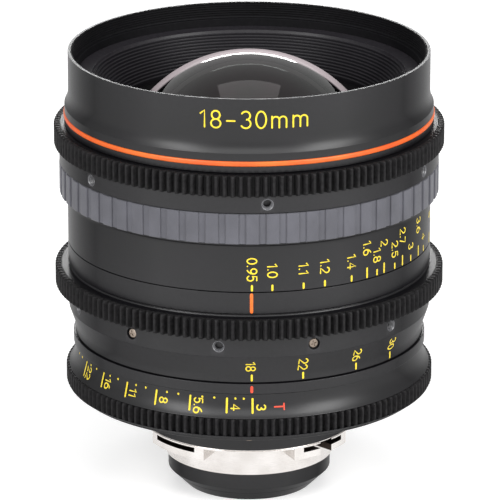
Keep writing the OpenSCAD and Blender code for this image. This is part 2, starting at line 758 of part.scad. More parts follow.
// Stop pin that ends the focus ring's turn
module focus_stop_pin() color(STEEL)
    radial_pin(stop_a, z_focus_gear, drive_pin_r, r_bore + chamfer, r_journal + run_fit + stop_reach);

// Inner sleeve of the focus ring with the three helical slots
module focus_sleeve() color(BRASS) difference() {
    tube(r_sleeve, r_ring_bore, z_focus, z_focus_top);
    for (i = [0:2])
        helix_slot(front_follower_a + i * third, z_front_follower,
            front_follower_a + i * third + focus_turn, z_front_follower - focus_travel,
            r_ring_bore - cut, r_sleeve + cut, 14);
    window(stop_a, stop_a + focus_turn, z_focus_gear, 2 * (drive_pin_r + slot_fit), r_ring_bore - cut,
        r_journal + run_fit + stop_reach + 2 * slot_fit);
}

// Body of the focus ring: seat of the grip, band with the tapped lever holes, collar for the gear
module focus_lever_ring() color(BLACK) difference() {
    r_band = root_r(gear_teeth) + focus_lever_seat;
    turned([[r_sleeve, z_grip], [r_scale, z_grip], [r_grip_seat, z_grip + chamfer],
        [r_grip_seat, z_focus_band], [r_band, z_focus_band], [r_band, z_focus_gear],
        [r_grip_seat, z_focus_gear], [r_grip_seat, z_focus_top], [r_sleeve, z_focus_top]]);
    for (i = [0:5]) lever_hole(focus_lever_a + i * sixth, z_focus_lever, r_sleeve, r_band);
}

// Gear of the focus ring, pressed onto the collar of the lever ring
module focus_gear_ring() color(BLACK) difference() {
    gear_blank(gear_teeth, z_focus_gear, z_focus_top);
    translate([0, 0, z_focus_gear - cut]) cylinder(r = r_grip_seat, h = focus_gear_h + 2 * cut);
}

// Rubber grip with flat ribs between grooves
module focus_grip() color(GREY) difference() {
    tube(r_grip, r_grip_seat, z_grip + chamfer, z_focus_band - chamfer);
    around(grip_ribs, groove_a)
        translate([-groove_w / 2, -r_grip - cut, z_grip + chamfer + grip_end])
        cube([groove_w, cut + groove_depth, grip_h - 2 * chamfer - 2 * grip_end]);
}

// Thin sleeve with the distance scale
module focus_scale_ring() color(BLACK)
    turned(concat([[r_sleeve, z_focus], [r_scale, z_focus], [r_scale, z_shoulder]],
        bend([r_scale, z_shoulder], [r_scale, z_grip - chamfer], [r_scale + shoulder_h, z_grip - chamfer], 4),
        [[r_scale + shoulder_h, z_grip], [r_sleeve, z_grip]]));

// Sliding cell of the front group
module front_cell() color(DARK) difference() {
    z_pocket = z_land + front_land_h - cell_web_h;
    turned([[r_third - seat_w, z_land], [r_second + cell_wall, z_land], [r_second + cell_wall, z_pocket],
        [r_land - guide_w, z_pocket], [r_land - guide_w, z_land], [r_land, z_land],
        [r_land, z_land + front_land_h], [r_cell, z_land + front_land_h], [r_cell, z_cell],
        [r_bezel, z_cell], [r_bezel, z_cell - bezel_h], [r_front_glass, z_cell - bezel_h],
        [r_front_glass, z_front_seat], [r_second, z_front_seat], [r_second, z_second],
        [r_third, z_second], [r_third, z_third], [r_third - seat_w, z_third]]);
    follower_holes(front_follower_a, z_front_follower, r_land - guide_w, r_land);
}

// Threaded ring that keeps the front glass in
module front_bezel() color(BLACK)
    turned([[r_bezel_opening, z_cell - bezel_h], [r_bezel, z_cell - bezel_h], [r_bezel, z_cell],
        [r_bezel_opening, z_cell - bezel_rake_h]]);

// Domed front element
module front_element() color(GLASS) difference() {
    intersection() {
        translate([0, 0, z_front_seat])
            cylinder(r = r_front_glass, h = z_dome + dome_radius - z_front_seat + cut);
        translate([0, 0, z_dome]) sphere(r = dome_radius);
    }
    translate([0, 0, z_dome + dome_radius - front_glass_t - r_front_hollow]) sphere(r = r_front_hollow);
}

module second_element() color(GLASS)
    lens(r_second, z_second, z_second + second_h, r_second * front_dome_share, r_second * front_bowl_share);

module third_element() color(GLASS)
    lens(r_third, z_third, z_third + third_h, r_third * front_dome_share, r_third * front_bowl_share);

module front_followers() color(STEEL)
    followers(front_follower_a, z_front_follower, r_land - guide_w, r_land, r_sleeve - follower_head_gap);

// Inner part of the zoom ring: sleeve, tapered band and lower scale band
module zoom_sleeve() color(BLACK) difference() {
    turned([[r_ring_bore, z_zoom], [r_zoom_scale, z_zoom], [r_zoom_scale, z_zoom_cone],
        [r_zoom_band, z_zoom_band], [r_zoom_sleeve, z_zoom_band], [r_zoom_sleeve, z_zoom_top],
        [r_ring_bore, z_zoom_top]]);
    for (i = [0:2])
        radial_pin(drive_pin_a + i * third, z_zoom_lever, drive_pin_r,
            r_ring_bore - cut, r_zoom_sleeve + cut);
    for (i = [0:5]) zoom_screw_space(zoom_screw_a + i * sixth);
}

module zoom_screw_space(angle) {
    radial_pin(angle, z_zoom_lever, screw_r, r_ring_bore + chamfer, r_zoom_band + cut);
    radial_pin(angle, z_zoom_lever, screw_head_r, r_zoom_band - screw_head_h, r_zoom_band + cut);
}

// Outer part of the zoom ring with the gear
module zoom_gear_ring() color(BLACK) difference() {
    union() {
        turned([[r_zoom_sleeve, z_zoom_band], [r_zoom_band, z_zoom_band], [r_zoom_band, z_zoom_gear],
            [root_r(gear_teeth), z_zoom_gear], [root_r(gear_teeth), z_zoom_lip],
            [r_zoom_band - chamfer, z_zoom_lip], [r_zoom_band - chamfer, z_zoom_top],
            [r_zoom_sleeve, z_zoom_top]]);
        gear_blank(gear_teeth, z_zoom_gear, z_zoom_lip);
    }
    translate([0, 0, z_zoom_band - cut]) cylinder(r = r_zoom_sleeve, h = z_zoom_top - z_zoom_band + 2 * cut);
    for (i = [0:5]) {
        lever_hole(zoom_lever_a + i * sixth, z_zoom_lever, r_zoom_sleeve - cut, r_zoom_band);
        zoom_screw_space(zoom_screw_a + i * sixth);
    }
}

module zoom_screws() color(STEEL)
    around(6, zoom_screw_a) {
        radial_pin(0, z_zoom_lever, screw_r, r_ring_bore + chamfer, r_zoom_band - screw_head_h);
        radial_pin(0, z_zoom_lever, screw_head_r, r_zoom_band - screw_head_h, r_zoom_band - chamfer);
    }

module zoom_drive_pins() color(STEEL)
    for (i = [0:2])
        radial_pin(drive_pin_a + i * third, z_zoom_lever, drive_pin_r, r_cam_bore + chamfer,
            r_zoom_sleeve - chamfer);

// Rotating tube whose slots move the variator and the compensator
module cam_tube() color(BRASS) difference() {
    tube(r_cam, r_cam_bore, z_cam_foot, z_cam_top);
    for (i = [0:2]) {
        helix_slot(barrel_slot_a + i * third, z_variator, barrel_slot_a + i * third + zoom_turn,
            z_variator + variator_travel, r_cam_bore - cut, r_cam + cut, 9);
        helix_slot(compensator_a + i * third, z_compensator, compensator_a + i * third + zoom_turn,
            z_compensator - compensator_travel, r_cam_bore - cut, r_cam + cut, 9);
        radial_pin(drive_pin_a + i * third, z_zoom_lever, drive_pin_r, r_cam_bore - cut, r_cam + cut);
    }
}

// Cell of a moving group: guide ring, web and hub around the glass
module moving_cell(z_mid, h, r_glass, first) difference() {
    low = z_mid - h / 2;
    high = z_mid + h / 2;
    web = shank_r + web_seat;
    turned([[r_glass - seat_w, low], [r_glass + hub_w, low], [r_glass + hub_w, z_mid - web],
        [r_slide - guide_w, z_mid - web], [r_slide - guide_w, low], [r_slide, low], [r_slide, high],
        [r_slide - guide_w, high], [r_slide - guide_w, z_mid + web], [r_glass + hub_w, z_mid + web],
        [r_glass + hub_w, high], [r_glass, high], [r_glass, low + seat_h], [r_glass - seat_w, low + seat_h]]);
    follower_holes(first, z_mid, r_slide - guide_w, r_slide);
}

module variator_cell() color(DARK)
    moving_cell(z_variator, variator_h, r_variator_glass, barrel_slot_a);

module variator_element_1() color(GLASS)
    lens(r_variator_glass, z_variator_glass, z_variator_glass + variator_glass_h,
        r_variator_glass * moving_dome_share, r_variator_glass * moving_bowl_share);

module variator_element_2() color(GLASS)
    lens(r_variator_glass, z_variator_glass + variator_glass_h, z_variator_glass + 2 * variator_glass_h,
        r_variator_glass * moving_dome_share, r_variator_glass * moving_bowl_share);

module variator_followers() color(STEEL)
    followers(barrel_slot_a, z_variator, r_slide - guide_w, r_slide, r_journal - follower_head_gap);

module compensator_cell() color(DARK)
    moving_cell(z_compensator, compensator_h, r_compensator_glass, compensator_a);

module compensator_element() color(GLASS)
    lens(r_compensator_glass, z_compensator_glass, z_compensator_glass + compensator_glass_h,
        r_compensator_glass * moving_dome_share, r_compensator_glass * moving_bowl_share);

module compensator_followers() color(STEEL)
    followers(compensator_a, z_compensator, r_slide - guide_w, r_slide, r_journal - follower_head_gap);

// Iris ring with its gear and stop scale
module iris_ring() color(BLACK) difference() {
    r_rim = tip_r(iris_teeth) - tooth_chamfer;
    union() {
        turned(concat([[r_ring_bore, z_iris], [r_rim - chamfer, z_iris], [r_rim, z_iris + chamfer],
            [r_rim, z_iris_gear - chamfer / 2], [r_rim - chamfer / 2, z_iris_gear],
            [root_r(iris_teeth), z_iris_gear], [root_r(iris_teeth), z_iris_band]],
            bend([r_iris_band, z_iris_band], [r_iris_top, z_iris_band + iris_flare_h / 3],
                [r_iris_top, z_iris_top]),
            [[r_ring_bore, z_iris_top]]));
        gear_blank(iris_teeth, z_iris_gear, z_iris_band);
    }
    translate([0, 0, z_iris - cut]) cylinder(r = r_ring_bore, h = z_iris_top - z_iris + 2 * cut);
    radial_pin(iris_pin_a, z_iris_pin, iris_pin_r, r_ring_bore - cut, r_ring_bore + iris_pin_hold);
}

// Places of a blade's cam pin, seen from the iris cam ring as it turns
function turn2(p, a) = [p[0] * cos(a) - p[1] * sin(a), p[0] * sin(a) + p[1] * cos(a)];
pivot_point = [0, -blade_pivot_r];
cam_point = turn2(pivot_point, blade_cam_a);
function blade_cam(t) =
    turn2(pivot_point + turn2(cam_point - pivot_point, t * blade_turn), -t * iris_turn);
function cam_side(t, side) =
    let (step = 1 / blade_slot_steps / 4, along = blade_cam(t + step) - blade_cam(t - step),
         across = [-along[1], along[0]] / norm(along))
    blade_cam(t) + side * (blade_pin_r + blade_slot_fit) * across;

module iris_cam_ring() color(BRASS) difference() {
    tube(r_iris_bore - run_fit, r_open + chamfer, z_iris_cam, z_iris_cam + iris_cam_h);
    around(blade_count) translate([0, 0, z_iris_cam - cut]) linear_extrude(iris_cam_h + 2 * cut)
        union() {
            polygon(concat([for (i = [0:blade_slot_steps]) cam_side(i / blade_slot_steps, 1)],
                [for (i = [blade_slot_steps:-1:0]) cam_side(i / blade_slot_steps, -1)]));
            for (t = [0, 1]) translate(blade_cam(t)) circle(blade_pin_r + blade_slot_fit);
        }
    radial_pin(iris_pin_a, z_iris_pin, iris_pin_r, r_iris_bore - iris_pin_seat, r_iris_bore + cut);
}

// Pin that carries the iris ring's turn through the barrel to the cam ring
module iris_coupling_pin() color(STEEL)
    radial_pin(iris_pin_a, z_iris_pin, iris_pin_r, r_iris_bore - iris_pin_seat, r_ring_bore + iris_pin_hold);

// Flat arc between two radii, from the front round to an angle under half a turn
module arc_band(r_in, r_out, angle) difference() {
    circle(r_out);
    circle(r_in);
    rotate(90) translate([-2 * r_out, 0]) square(4 * r_out);
    rotate(angle - 90) translate([-2 * r_out, 0]) square(4 * r_out);
}

// One iris blade with its pivot pin below and its cam pin above
module iris_blade(i) color(DARK) {
    z = z_blades + (i - 1) * blade_pitch;
    z_pin_top = z_iris_cam + iris_cam_h / 2;
    r_mid = r_open + blade_band_w / 2;
    rotate([0, 0, (i - 1) * 360 / blade_count]) {
        translate([0, 0, z]) linear_extrude(blade_t) union() {
            arc_band(r_open, r_open + blade_band_w, blade_arc);
            arc_band(r_mid, blade_pivot_r + blade_tab_r, blade_cam_a);
            translate(turn2([0, -r_mid], blade_arc)) circle(blade_band_w / 2);
            translate(pivot_point) circle(blade_tab_r);
            translate(cam_point) circle(blade_tab_r);
        }
        translate([0, -blade_pivot_r, z_iris_floor])
            cylinder(r = blade_pin_r, h = z - z_iris_floor + blade_t);
        translate([cam_point[0], cam_point[1], z]) cylinder(r = blade_pin_r, h = z_pin_top - z);
    }
}

front_hood();
hood_baffle();
accent_ring();
hood_screws();
main_barrel();
cam_retaining_ring();
focus_index_ring();
iris_index_ring();
rear_base();
base_screws();
mount_shim();
mount_flange();
mount_screws();
rear_shroud();
rear_cell();
rear_element_1();
rear_element_2();
rear_element_3();
rear_spacer();
rear_retaining_ring();
iris_plate();
iris_cover();
focus_stop_pin();
focus_sleeve();
focus_lever_ring();
focus_gear_ring();
focus_grip();
focus_scale_ring();
front_cell();
front_bezel();
front_element();
second_element();
third_element();
front_followers();
zoom_sleeve();
zoom_gear_ring();
zoom_screws();
zoom_drive_pins();
cam_tube();
variator_cell();
variator_element_1();
variator_element_2();
variator_followers();
compensator_cell();
compensator_element();
compensator_followers();
iris_ring();
iris_cam_ring();
iris_coupling_pin();
for (i = [1:blade_count]) iris_blade(i);
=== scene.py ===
# Looks of the cinema zoom lens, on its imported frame. Metres; sizes are written in millimetres times MM.
# The origin is the centre of the mount's seating face, +Z runs to the front glass and the index lines
# face -Y. Angles count from -Y, positive towards +X.
import math

import bmesh
import bpy
from mathutils import Matrix, Vector


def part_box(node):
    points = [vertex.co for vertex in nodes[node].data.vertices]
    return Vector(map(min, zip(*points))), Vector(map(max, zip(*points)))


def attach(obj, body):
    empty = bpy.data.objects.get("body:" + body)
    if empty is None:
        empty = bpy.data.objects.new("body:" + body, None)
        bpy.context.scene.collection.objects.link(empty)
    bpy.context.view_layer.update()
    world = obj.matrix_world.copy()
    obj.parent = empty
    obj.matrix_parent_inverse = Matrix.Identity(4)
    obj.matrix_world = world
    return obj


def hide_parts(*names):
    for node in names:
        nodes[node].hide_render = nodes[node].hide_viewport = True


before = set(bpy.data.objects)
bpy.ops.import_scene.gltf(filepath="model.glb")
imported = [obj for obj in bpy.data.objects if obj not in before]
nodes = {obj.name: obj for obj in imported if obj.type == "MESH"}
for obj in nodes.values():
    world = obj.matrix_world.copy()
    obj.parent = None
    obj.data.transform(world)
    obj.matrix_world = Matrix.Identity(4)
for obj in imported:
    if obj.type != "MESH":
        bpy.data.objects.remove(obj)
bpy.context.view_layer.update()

MM = 0.001


# Studio: a long lens 18 degrees above the horizon, a pale table, a soft light on either side in front
# with a weaker one between them, a small one above, a low one behind, and a white room round it all.
# Colours are written as screen values, so they are turned into linear light here.
def screen(red, green, blue):
    return tuple(((c / 255 + 0.055) / 1.055) ** 2.4 if c > 10 else c / 255 / 12.92
                 for c in (red, green, blue)) + (1.0,)


camera = bpy.data.objects.new("camera", bpy.data.cameras.new("camera"))
bpy.context.scene.collection.objects.link(camera)
camera.data.lens = 356.1
camera.data.sensor_width = 36
camera.data.shift_x = 0.0018
camera.data.clip_start = 0.05
camera.location = (0, -1.49596, 0.5468)
aim = Vector((0, 0, 0.0599)) - camera.location
camera.rotation_euler = aim.to_track_quat("-Z", "Y").to_euler()
bpy.context.scene.camera = camera
bpy.context.scene.view_settings.view_transform = "Standard"


def soft_box(name, place, towards, width, height, watts):
    data = bpy.data.lights.new(name, "AREA")
    data.shape = "RECTANGLE"
    data.size = width
    data.size_y = height
    data.energy = watts
    light = bpy.data.objects.new(name, data)
    light.location = place
    light.rotation_euler = (Vector(towards) - Vector(place)).to_track_quat("-Z", "Y").to_euler()
    bpy.context.scene.collection.objects.link(light)


LENS_MIDDLE = (0, 0, 0.09)
soft_box("left_front_light", (-1.3, -1.3, 1.05), LENS_MIDDLE, 0.8, 1.5, 27)
soft_box("right_front_light", (1.4, -1.15, 1.05), LENS_MIDDLE, 0.95, 1.5, 34)
soft_box("centre_front_light", (0, -1.7, 1.25), LENS_MIDDLE, 1.5, 1.2, 13)
soft_box("top_light", (0, 0.25, 1.3), LENS_MIDDLE, 0.8, 0.6, 2.5)
soft_box("low_back_light", (0, 1.15, 0.42), (0, 0, 0.11), 0.5, 0.08, 3)


def any_ray(tree, *kinds):
    """1 on the named kinds of ray, 0 on the others."""
    path = tree.nodes.new("ShaderNodeLightPath")
    seen = path.outputs[kinds[0]]
    for kind in kinds[1:]:
        either = tree.nodes.new("ShaderNodeMath")
        either.operation = "MAXIMUM"
        tree.links.new(seen, either.inputs[0])
        tree.links.new(path.outputs[kind], either.inputs[1])
        seen = either.outputs[0]
    return seen


world = bpy.data.worlds.new("white_room")
bpy.context.scene.world = world
world.use_nodes = True
room = world.node_tree
for part in list(room.nodes):
    room.nodes.remove(part)
level = room.nodes.new("ShaderNodeMapRange")
level.inputs["To Min"].default_value = 0.15
level.inputs["To Max"].default_value = 1.0
room.links.new(any_ray(room, "Is Camera Ray", "Is Transmission Ray", "Is Glossy Ray"), level.inputs["Value"])
sky = room.nodes.new("ShaderNodeBackground")
sky.inputs["Color"].default_value = (1, 1, 1, 1)
room.links.new(level.outputs["Result"], sky.inputs["Strength"])
room_out = room.nodes.new("ShaderNodeOutputWorld")
room.links.new(sky.outputs[0], room_out.inputs["Surface"])

TABLE_Z = -17.1 * MM
table_form = bmesh.new()
bmesh.ops.create_grid(table_form, x_segments=1, y_segments=1, size=3)
bmesh.ops.translate(table_form, verts=table_form.verts, vec=(0, 0, TABLE_Z))
table_mesh = bpy.data.meshes.new("table")
table_form.to_mesh(table_mesh)
table_form.free()
table = bpy.data.objects.new("table", table_mesh)
bpy.context.scene.collection.objects.link(table)
table_finish = bpy.data.materials.new("pale_table")
table_finish.use_nodes = True
board = table_finish.node_tree
board_skin = board.nodes["Principled BSDF"]
board_skin.inputs["Base Color"].default_value = (0.9, 0.9, 0.9, 1)
board_skin.inputs["Roughness"].default_value = 0.9
board_skin.inputs["Specular IOR Level"].default_value = 0.0
board_glow = board.nodes.new("ShaderNodeEmission")
board_glow.inputs["Strength"].default_value = 0.42
board_dark = board.nodes.new("ShaderNodeEmission")
board_dark.inputs["Strength"].default_value = 0.0
board_pick = board.nodes.new("ShaderNodeMixShader")
board_sum = board.nodes.new("ShaderNodeAddShader")
board.links.new(any_ray(board, "Is Camera Ray", "Is Glossy Ray"), board_pick.inputs[0])
board.links.new(board_dark.outputs[0], board_pick.inputs[1])
board.links.new(board_glow.outputs[0], board_pick.inputs[2])
board.links.new(board_skin.outputs[0], board_sum.inputs[0])
board.links.new(board_pick.outputs[0], board_sum.inputs[1])
board.links.new(board_sum.outputs[0], board.nodes["Material Output"].inputs["Surface"])
table_mesh.materials.append(table_finish)


# Base: the rear casting, turned from aluminium and anodised satin black, with a thin flange under the
# iris ring that the barrel is screwed to. Its skin is the one that all the black rings share.
def noise(tree, scale, stretch=(1, 1, 1), detail=3.0):
    """Noise on the piece's own coordinates, stretched along an axis where the tool ran."""
    place = tree.nodes.new("ShaderNodeTexCoord")
    turn = tree.nodes.new("ShaderNodeMapping")
    turn.inputs["Scale"].default_value = stretch
    cloud = tree.nodes.new("ShaderNodeTexNoise")
    cloud.inputs["Scale"].default_value = scale
    cloud.inputs["Detail"].default_value = detail
    tree.links.new(place.outputs["Object"], turn.inputs["Vector"])
    tree.links.new(turn.outputs["Vector"], cloud.inputs["Vector"])
    return cloud.outputs["Fac"]


def spread(tree, value, low, high, to_low, to_high):
    """Stretches a value from low..high to to_low..to_high."""
    ramp = tree.nodes.new("ShaderNodeMapRange")
    for socket, number in (("From Min", low), ("From Max", high), ("To Min", to_low), ("To Max", to_high)):
        ramp.inputs[socket].default_value = number
    tree.links.new(value, ramp.inputs["Value"])
    return ramp.outputs["Result"]


def blended(tree, factor, first, second):
    """A colour between two, each given as a value or as a socket."""
    mix = tree.nodes.new("ShaderNodeMix")
    mix.data_type = "RGBA"
    tree.links.new(factor, mix.inputs["Factor"])
    for socket, colour in ((mix.inputs[6], first), (mix.inputs[7], second)):
        if isinstance(colour, tuple):
            socket.default_value = colour
        else:
            tree.links.new(colour, socket)
    return mix.outputs[2]


def raised(tree, shader, heights):
    """Bumps from (height socket, distance in metres) pairs, one over the other."""
    last = None
    for height, distance in heights:
        relief = tree.nodes.new("ShaderNodeBump")
        relief.inputs["Strength"].default_value = 1.0
        relief.inputs["Distance"].default_value = distance
        tree.links.new(height, relief.inputs["Height"])
        if last:
            tree.links.new(last, relief.inputs["Normal"])
        last = relief.outputs["Normal"]
    tree.links.new(last, shader.inputs["Normal"])


def new_finish(name):
    finish = bpy.data.materials.new(name)
    finish.use_nodes = True
    return finish, finish.node_tree, finish.node_tree.nodes["Principled BSDF"]


def anodised(name, dark, light, wear_and_glint_edge, rough=(0.3, 0.38), grain=0.000002,
             turning=0.000002, specular=0.42):
    """Bead-blasted and anodised aluminium, with faint turning marks and its edges in a lighter colour: wear on
    most skins, and a painted highlight on the skins whose edge colour is made very pale.

    Its specular level is linked to Layer Weight and falls at a slant to the camera. That is a known
    fault: the export drops the link, and the level belongs on the shader's own socket.
    """
    finish, tree, shader = new_finish(name)
    patches = spread(tree, noise(tree, 55, (1, 1, 1.6)), 0.35, 0.65, 0, 1)
    grit = noise(tree, 5200, (1, 1, 1), 2)
    rings = noise(tree, 40, (0.5, 0.5, 90), 4)
    # The edge factor lightens edges: wear, and a painted highlight where the edge colour is very pale.
    edge = tree.nodes.new("ShaderNodeAttribute")
    edge.attribute_name = "edge_wear_and_glint"
    edge_rub_and_glint = tree.nodes.new("ShaderNodeMath")
    edge_rub_and_glint.operation = "MULTIPLY"
    tree.links.new(edge.outputs["Fac"], edge_rub_and_glint.inputs[0])
    tree.links.new(spread(tree, noise(tree, 900), 0.35, 0.65, 0.35, 0.8), edge_rub_and_glint.inputs[1])
    skin = blended(tree, patches, dark, light)
    tree.links.new(blended(tree, edge_rub_and_glint.outputs[0], skin, wear_and_glint_edge), shader.inputs["Base Color"])
    tree.links.new(spread(tree, grit, 0.3, 0.7, rough[0], rough[1]), shader.inputs["Roughness"])
    slope = tree.nodes.new("ShaderNodeLayerWeight")
    slope.inputs["Blend"].default_value = 0.5
    tree.links.new(spread(tree, slope.outputs["Facing"], 0.18, 0.5, specular, specular * 0.16),
                   shader.inputs["Specular IOR Level"])
    raised(tree, shader, ((rings, turning), (grit, grain)))
    return finish


def corner_points(points):
    """The corners of an outline that turn by more than 20 degrees."""
    sharp = []
    for i, (r, z) in enumerate(points):
        before, after = points[i - 1], points[(i + 1) % len(points)]
        turn = math.atan2(after[1] - z, after[0] - r) - math.atan2(z - before[1], r - before[0])
        if abs(math.remainder(turn, math.tau)) > math.radians(20):
            sharp.append(i)
    return sharp


def turned(points, corner=0.12, steps=240):
    """A ring turned on a lathe: its outline in millimetres, (radius, height), with broken corners."""
    ring = bmesh.new()
    verts = [ring.verts.new((r * MM, 0, z * MM)) for r, z in points]
    for a, b in zip(verts, verts[1:] + verts[:1]):
        ring.edges.new((a, b))
    bmesh.ops.bevel(ring, geom=[verts[i] for i in corner_points(points)], offset=corner * MM,
                    offset_type="OFFSET", segments=2, profile=0.5, affect="VERTICES", material=-1,
                    clamp_overlap=True)
    bmesh.ops.spin(ring, geom=ring.verts[:] + ring.edges[:], cent=(0, 0, 0), axis=(0, 0, 1),
                   angle=math.tau, steps=steps, use_merge=True)
    bmesh.ops.recalc_face_normals(ring, faces=ring.faces)
    return ring


def joined(form, other):
    """Adds another bmesh to this one."""
    bowl = bpy.data.meshes.new("bowl")
    other.to_mesh(bowl)
    other.free()
    form.from_mesh(bowl)
    bpy.data.meshes.remove(bowl)


def curve_points(start, pull, end, count=10):
    """A smooth curve between two points, drawn towards a third."""
    share = [i / count for i in range(count + 1)]
    return [tuple((1 - t) ** 2 * a + 2 * t * (1 - t) * b + t * t * c for a, b, c in zip(start, pull, end))
            for t in share]


def piece(name, form, finish, body, stands_for=(), crisp=40):
    """Makes a finished piece of a bmesh: smooth faces, an edge factor for wear and painted glints, body and
    the node it stands for.
    """
    wear_and_glint_edge = form.verts.layers.float.new("edge_wear_and_glint")
    for vert in form.verts:
        if len(vert.link_faces) > 1:
            vert[wear_and_glint_edge] = min(1.0, max(0.0, (vert.calc_shell_factor() - 1.004) * 14))
    for face in form.faces:
        face.smooth = True
    for edge in form.edges:
        if len(edge.link_faces) == 2 and edge.calc_face_angle() > math.radians(crisp):
            edge.smooth = False
    mesh = bpy.data.meshes.new(name)
    form.to_mesh(mesh)
    form.free()
    mesh.materials.append(finish)
    made = bpy.data.objects.new(name, mesh)
    bpy.context.scene.collection.objects.link(made)
    even = made.modifiers.new("even_shading", "WEIGHTED_NORMAL")
    even.keep_sharp = True
    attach(made, body)
    if stands_for:
        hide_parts(*stands_for)
    return made


def refinish(names, finish):
    """Gives CAD nodes whose shape is right their finish."""
    for name in names:
        mesh = nodes[name].data
        mesh.materials.clear()
        mesh.materials.append(finish)


def rotated(form, degrees, axis):
    bmesh.ops.rotate(form, verts=form.verts, cent=(0, 0, 0),
                     matrix=Matrix.Rotation(math.radians(degrees), 3, axis))


def all_round(form, count):
    """Repeats a form round the axis, evenly."""
    bmesh.ops.spin(form, geom=form.verts[:] + form.edges[:] + form.faces[:], cent=(0, 0, 0), axis=(0, 0, 1),
                   angle=math.tau * (count - 1) / count, steps=count - 1, use_duplicate=True)


black_skin = anodised("satin_black_anodised", screen(9, 9, 11), screen(13, 12, 15), screen(44, 43, 46))
matt_skin = anodised("matt_black_anodised", screen(12, 12, 13), screen(16, 15, 17), screen(40, 40, 42),
                     rough=(0.5, 0.62), turning=0.000006, specular=0.08)
gear_skin = anodised("milled_gear_black", screen(11, 11, 12), screen(14, 14, 15), screen(48, 47, 48),
                     rough=(0.4, 0.5), specular=0.1)
Z_BASE, Z_WEB, Z_FLANGE = 4.4, 13.8, 17.1
R_BASE, R_FLANGE, R_TUBE_IN, R_CELL = 34, 56, 31.2, 24.6
base_form = turned([(R_CELL, Z_BASE), (R_BASE, Z_BASE), (R_BASE, Z_WEB), (42.25, Z_WEB),
                    (R_FLANGE - 0.3, Z_FLANGE - 1.2), (R_FLANGE, Z_FLANGE - 0.9), (R_FLANGE, Z_FLANGE),
                    (R_BASE, Z_FLANGE), (R_BASE, 31), (R_TUBE_IN, 31), (R_TUBE_IN, 21), (28.6, 21),
                    (28.6, 19), (R_CELL, 19)], corner=0.25)
piece("base_casting", base_form, black_skin, "barrel", ["rear_base"])
refinish(["main_barrel", "iris_plate", "iris_cover"], matt_skin)


# Steel mount: spigot, plate and four lugs turned and milled from one piece of bright stainless steel,
# with a thin shim under the base and small screws. Only its edges are broken, the faces stay as cut.
def cut_steel(name, dark, light, rough=(0.16, 0.3), turning=0.00001, colour_stretch=(0.6, 0.6, 60)):
    """Bright turned metal: fine rings round the axis and a faint uneven tarnish."""
    finish, tree, shader = new_finish(name)
    rings = noise(tree, 60, colour_stretch, 5)
    tarnish = noise(tree, 120)
    scratch = noise(tree, 1500, (1, 1, 14), 2)
    tree.links.new(blended(tree, spread(tree, tarnish, 0.35, 0.7, 0, 1), light, dark),
                   shader.inputs["Base Color"])
    tree.links.new(spread(tree, rings, 0.3, 0.7, rough[0], rough[1]), shader.inputs["Roughness"])
    shader.inputs["Metallic"].default_value = 1.0
    raised(tree, shader, ((rings, turning), (scratch, turning / 3)))
    return finish


def softened(node, width, flat, levels):
    """A copy of a CAD node with its flats joined, some levels moved and its edges broken."""
    form = bmesh.new()
    form.from_mesh(nodes[node].data)
    bmesh.ops.remove_doubles(form, verts=form.verts, dist=0.002 * MM)
    for vert in form.verts:
        for old, new in levels:
            if abs(vert.co.z - old * MM) < 0.05 * MM:
                vert.co.z = new * MM
    bmesh.ops.dissolve_limit(form, angle_limit=math.radians(flat), verts=form.verts, edges=form.edges)
    edges = [e for e in form.edges if len(e.link_faces) == 2 and e.calc_face_angle() > math.radians(30)]
    bmesh.ops.bevel(form, geom=edges, offset=width * MM, offset_type="OFFSET", segments=2, profile=0.5,
                    affect="EDGES", material=-1, clamp_overlap=True)
    return form


mount_skin = cut_steel("bright_mount_steel", screen(206, 201, 197), screen(224, 220, 217), rough=(0.2, 0.3),
                       turning=0.000004)
screw_skin = cut_steel("screw_steel", screen(120, 108, 98), screen(165, 152, 140), rough=(0.28, 0.45))
POCKET_LOW, POCKET_HIGH, R_LUG = 2.1, 3.75, 34
mount_form = softened("mount_flange", 0.1, 0.6, ((2.3, POCKET_LOW), (3.3, POCKET_HIGH)))
steel_mount = piece("steel_mount", mount_form, mount_skin, "barrel", ["mount_flange"])
# The faces inside the pockets over the lugs take a dark brown steel: painted shade in the recesses.
steel_mount.data.materials.append(cut_steel("pocket_painted_shade_steel", screen(40, 34, 31), screen(66, 57, 52),
                                            rough=(0.4, 0.55)))
for face in steel_mount.data.polygons:
    middle = face.center / MM
    if 30.5 < middle.xy.length < R_LUG - 0.3 and POCKET_LOW - 0.1 < middle.z < POCKET_HIGH + 0.05:
        face.material_index = 1
refinish(["mount_shim"], mount_skin)
refinish(["mount_screws", "base_screws", "focus_stop_pin", "hood_screws"], screw_skin)


# Rear shroud and rear cell: a black cone screwed into the spigot that guards the rear glass, with a
# scribed line round it, and the long cell behind it that holds the fixed rear elements.
shroud_form = turned([(24.6, -6.3), (26, -6.3), (26, -11.6), (23.9, -13.66), (23.75, -13.66), (23.7, -13.86),
                      (23.65, -13.9), (20.4, -17.1), (19, -17.1), (21.6, -11.6), (24.6, -11.6)], corner=0.15)
piece("rear_shroud_cone", shroud_form, black_skin, "barrel", ["rear_shroud"])
refinish(["rear_cell", "rear_spacer", "rear_retaining_ring"], matt_skin)


# Glass: polished elements with a thin coating that tints what they mirror. The inner ones are the same
# glass; the moving groups sit in black cells that the brass cam tube and the steel rollers carry.
def coated_glass(name, tint, film):
    finish, tree, shader = new_finish(name)
    shader.inputs["Transmission Weight"].default_value = 1.0
    shader.inputs["IOR"].default_value = 1.52
    shader.inputs["Specular IOR Level"].default_value = 0.3
    shader.inputs["Base Color"].default_value = tint
    shader.inputs["Thin Film Thickness"].default_value = film
    shader.inputs["Thin Film IOR"].default_value = 1.38
    dust = noise(tree, 700)
    tree.links.new(spread(tree, dust, 0.62, 0.85, 0.0, 0.05), shader.inputs["Roughness"])
    return finish


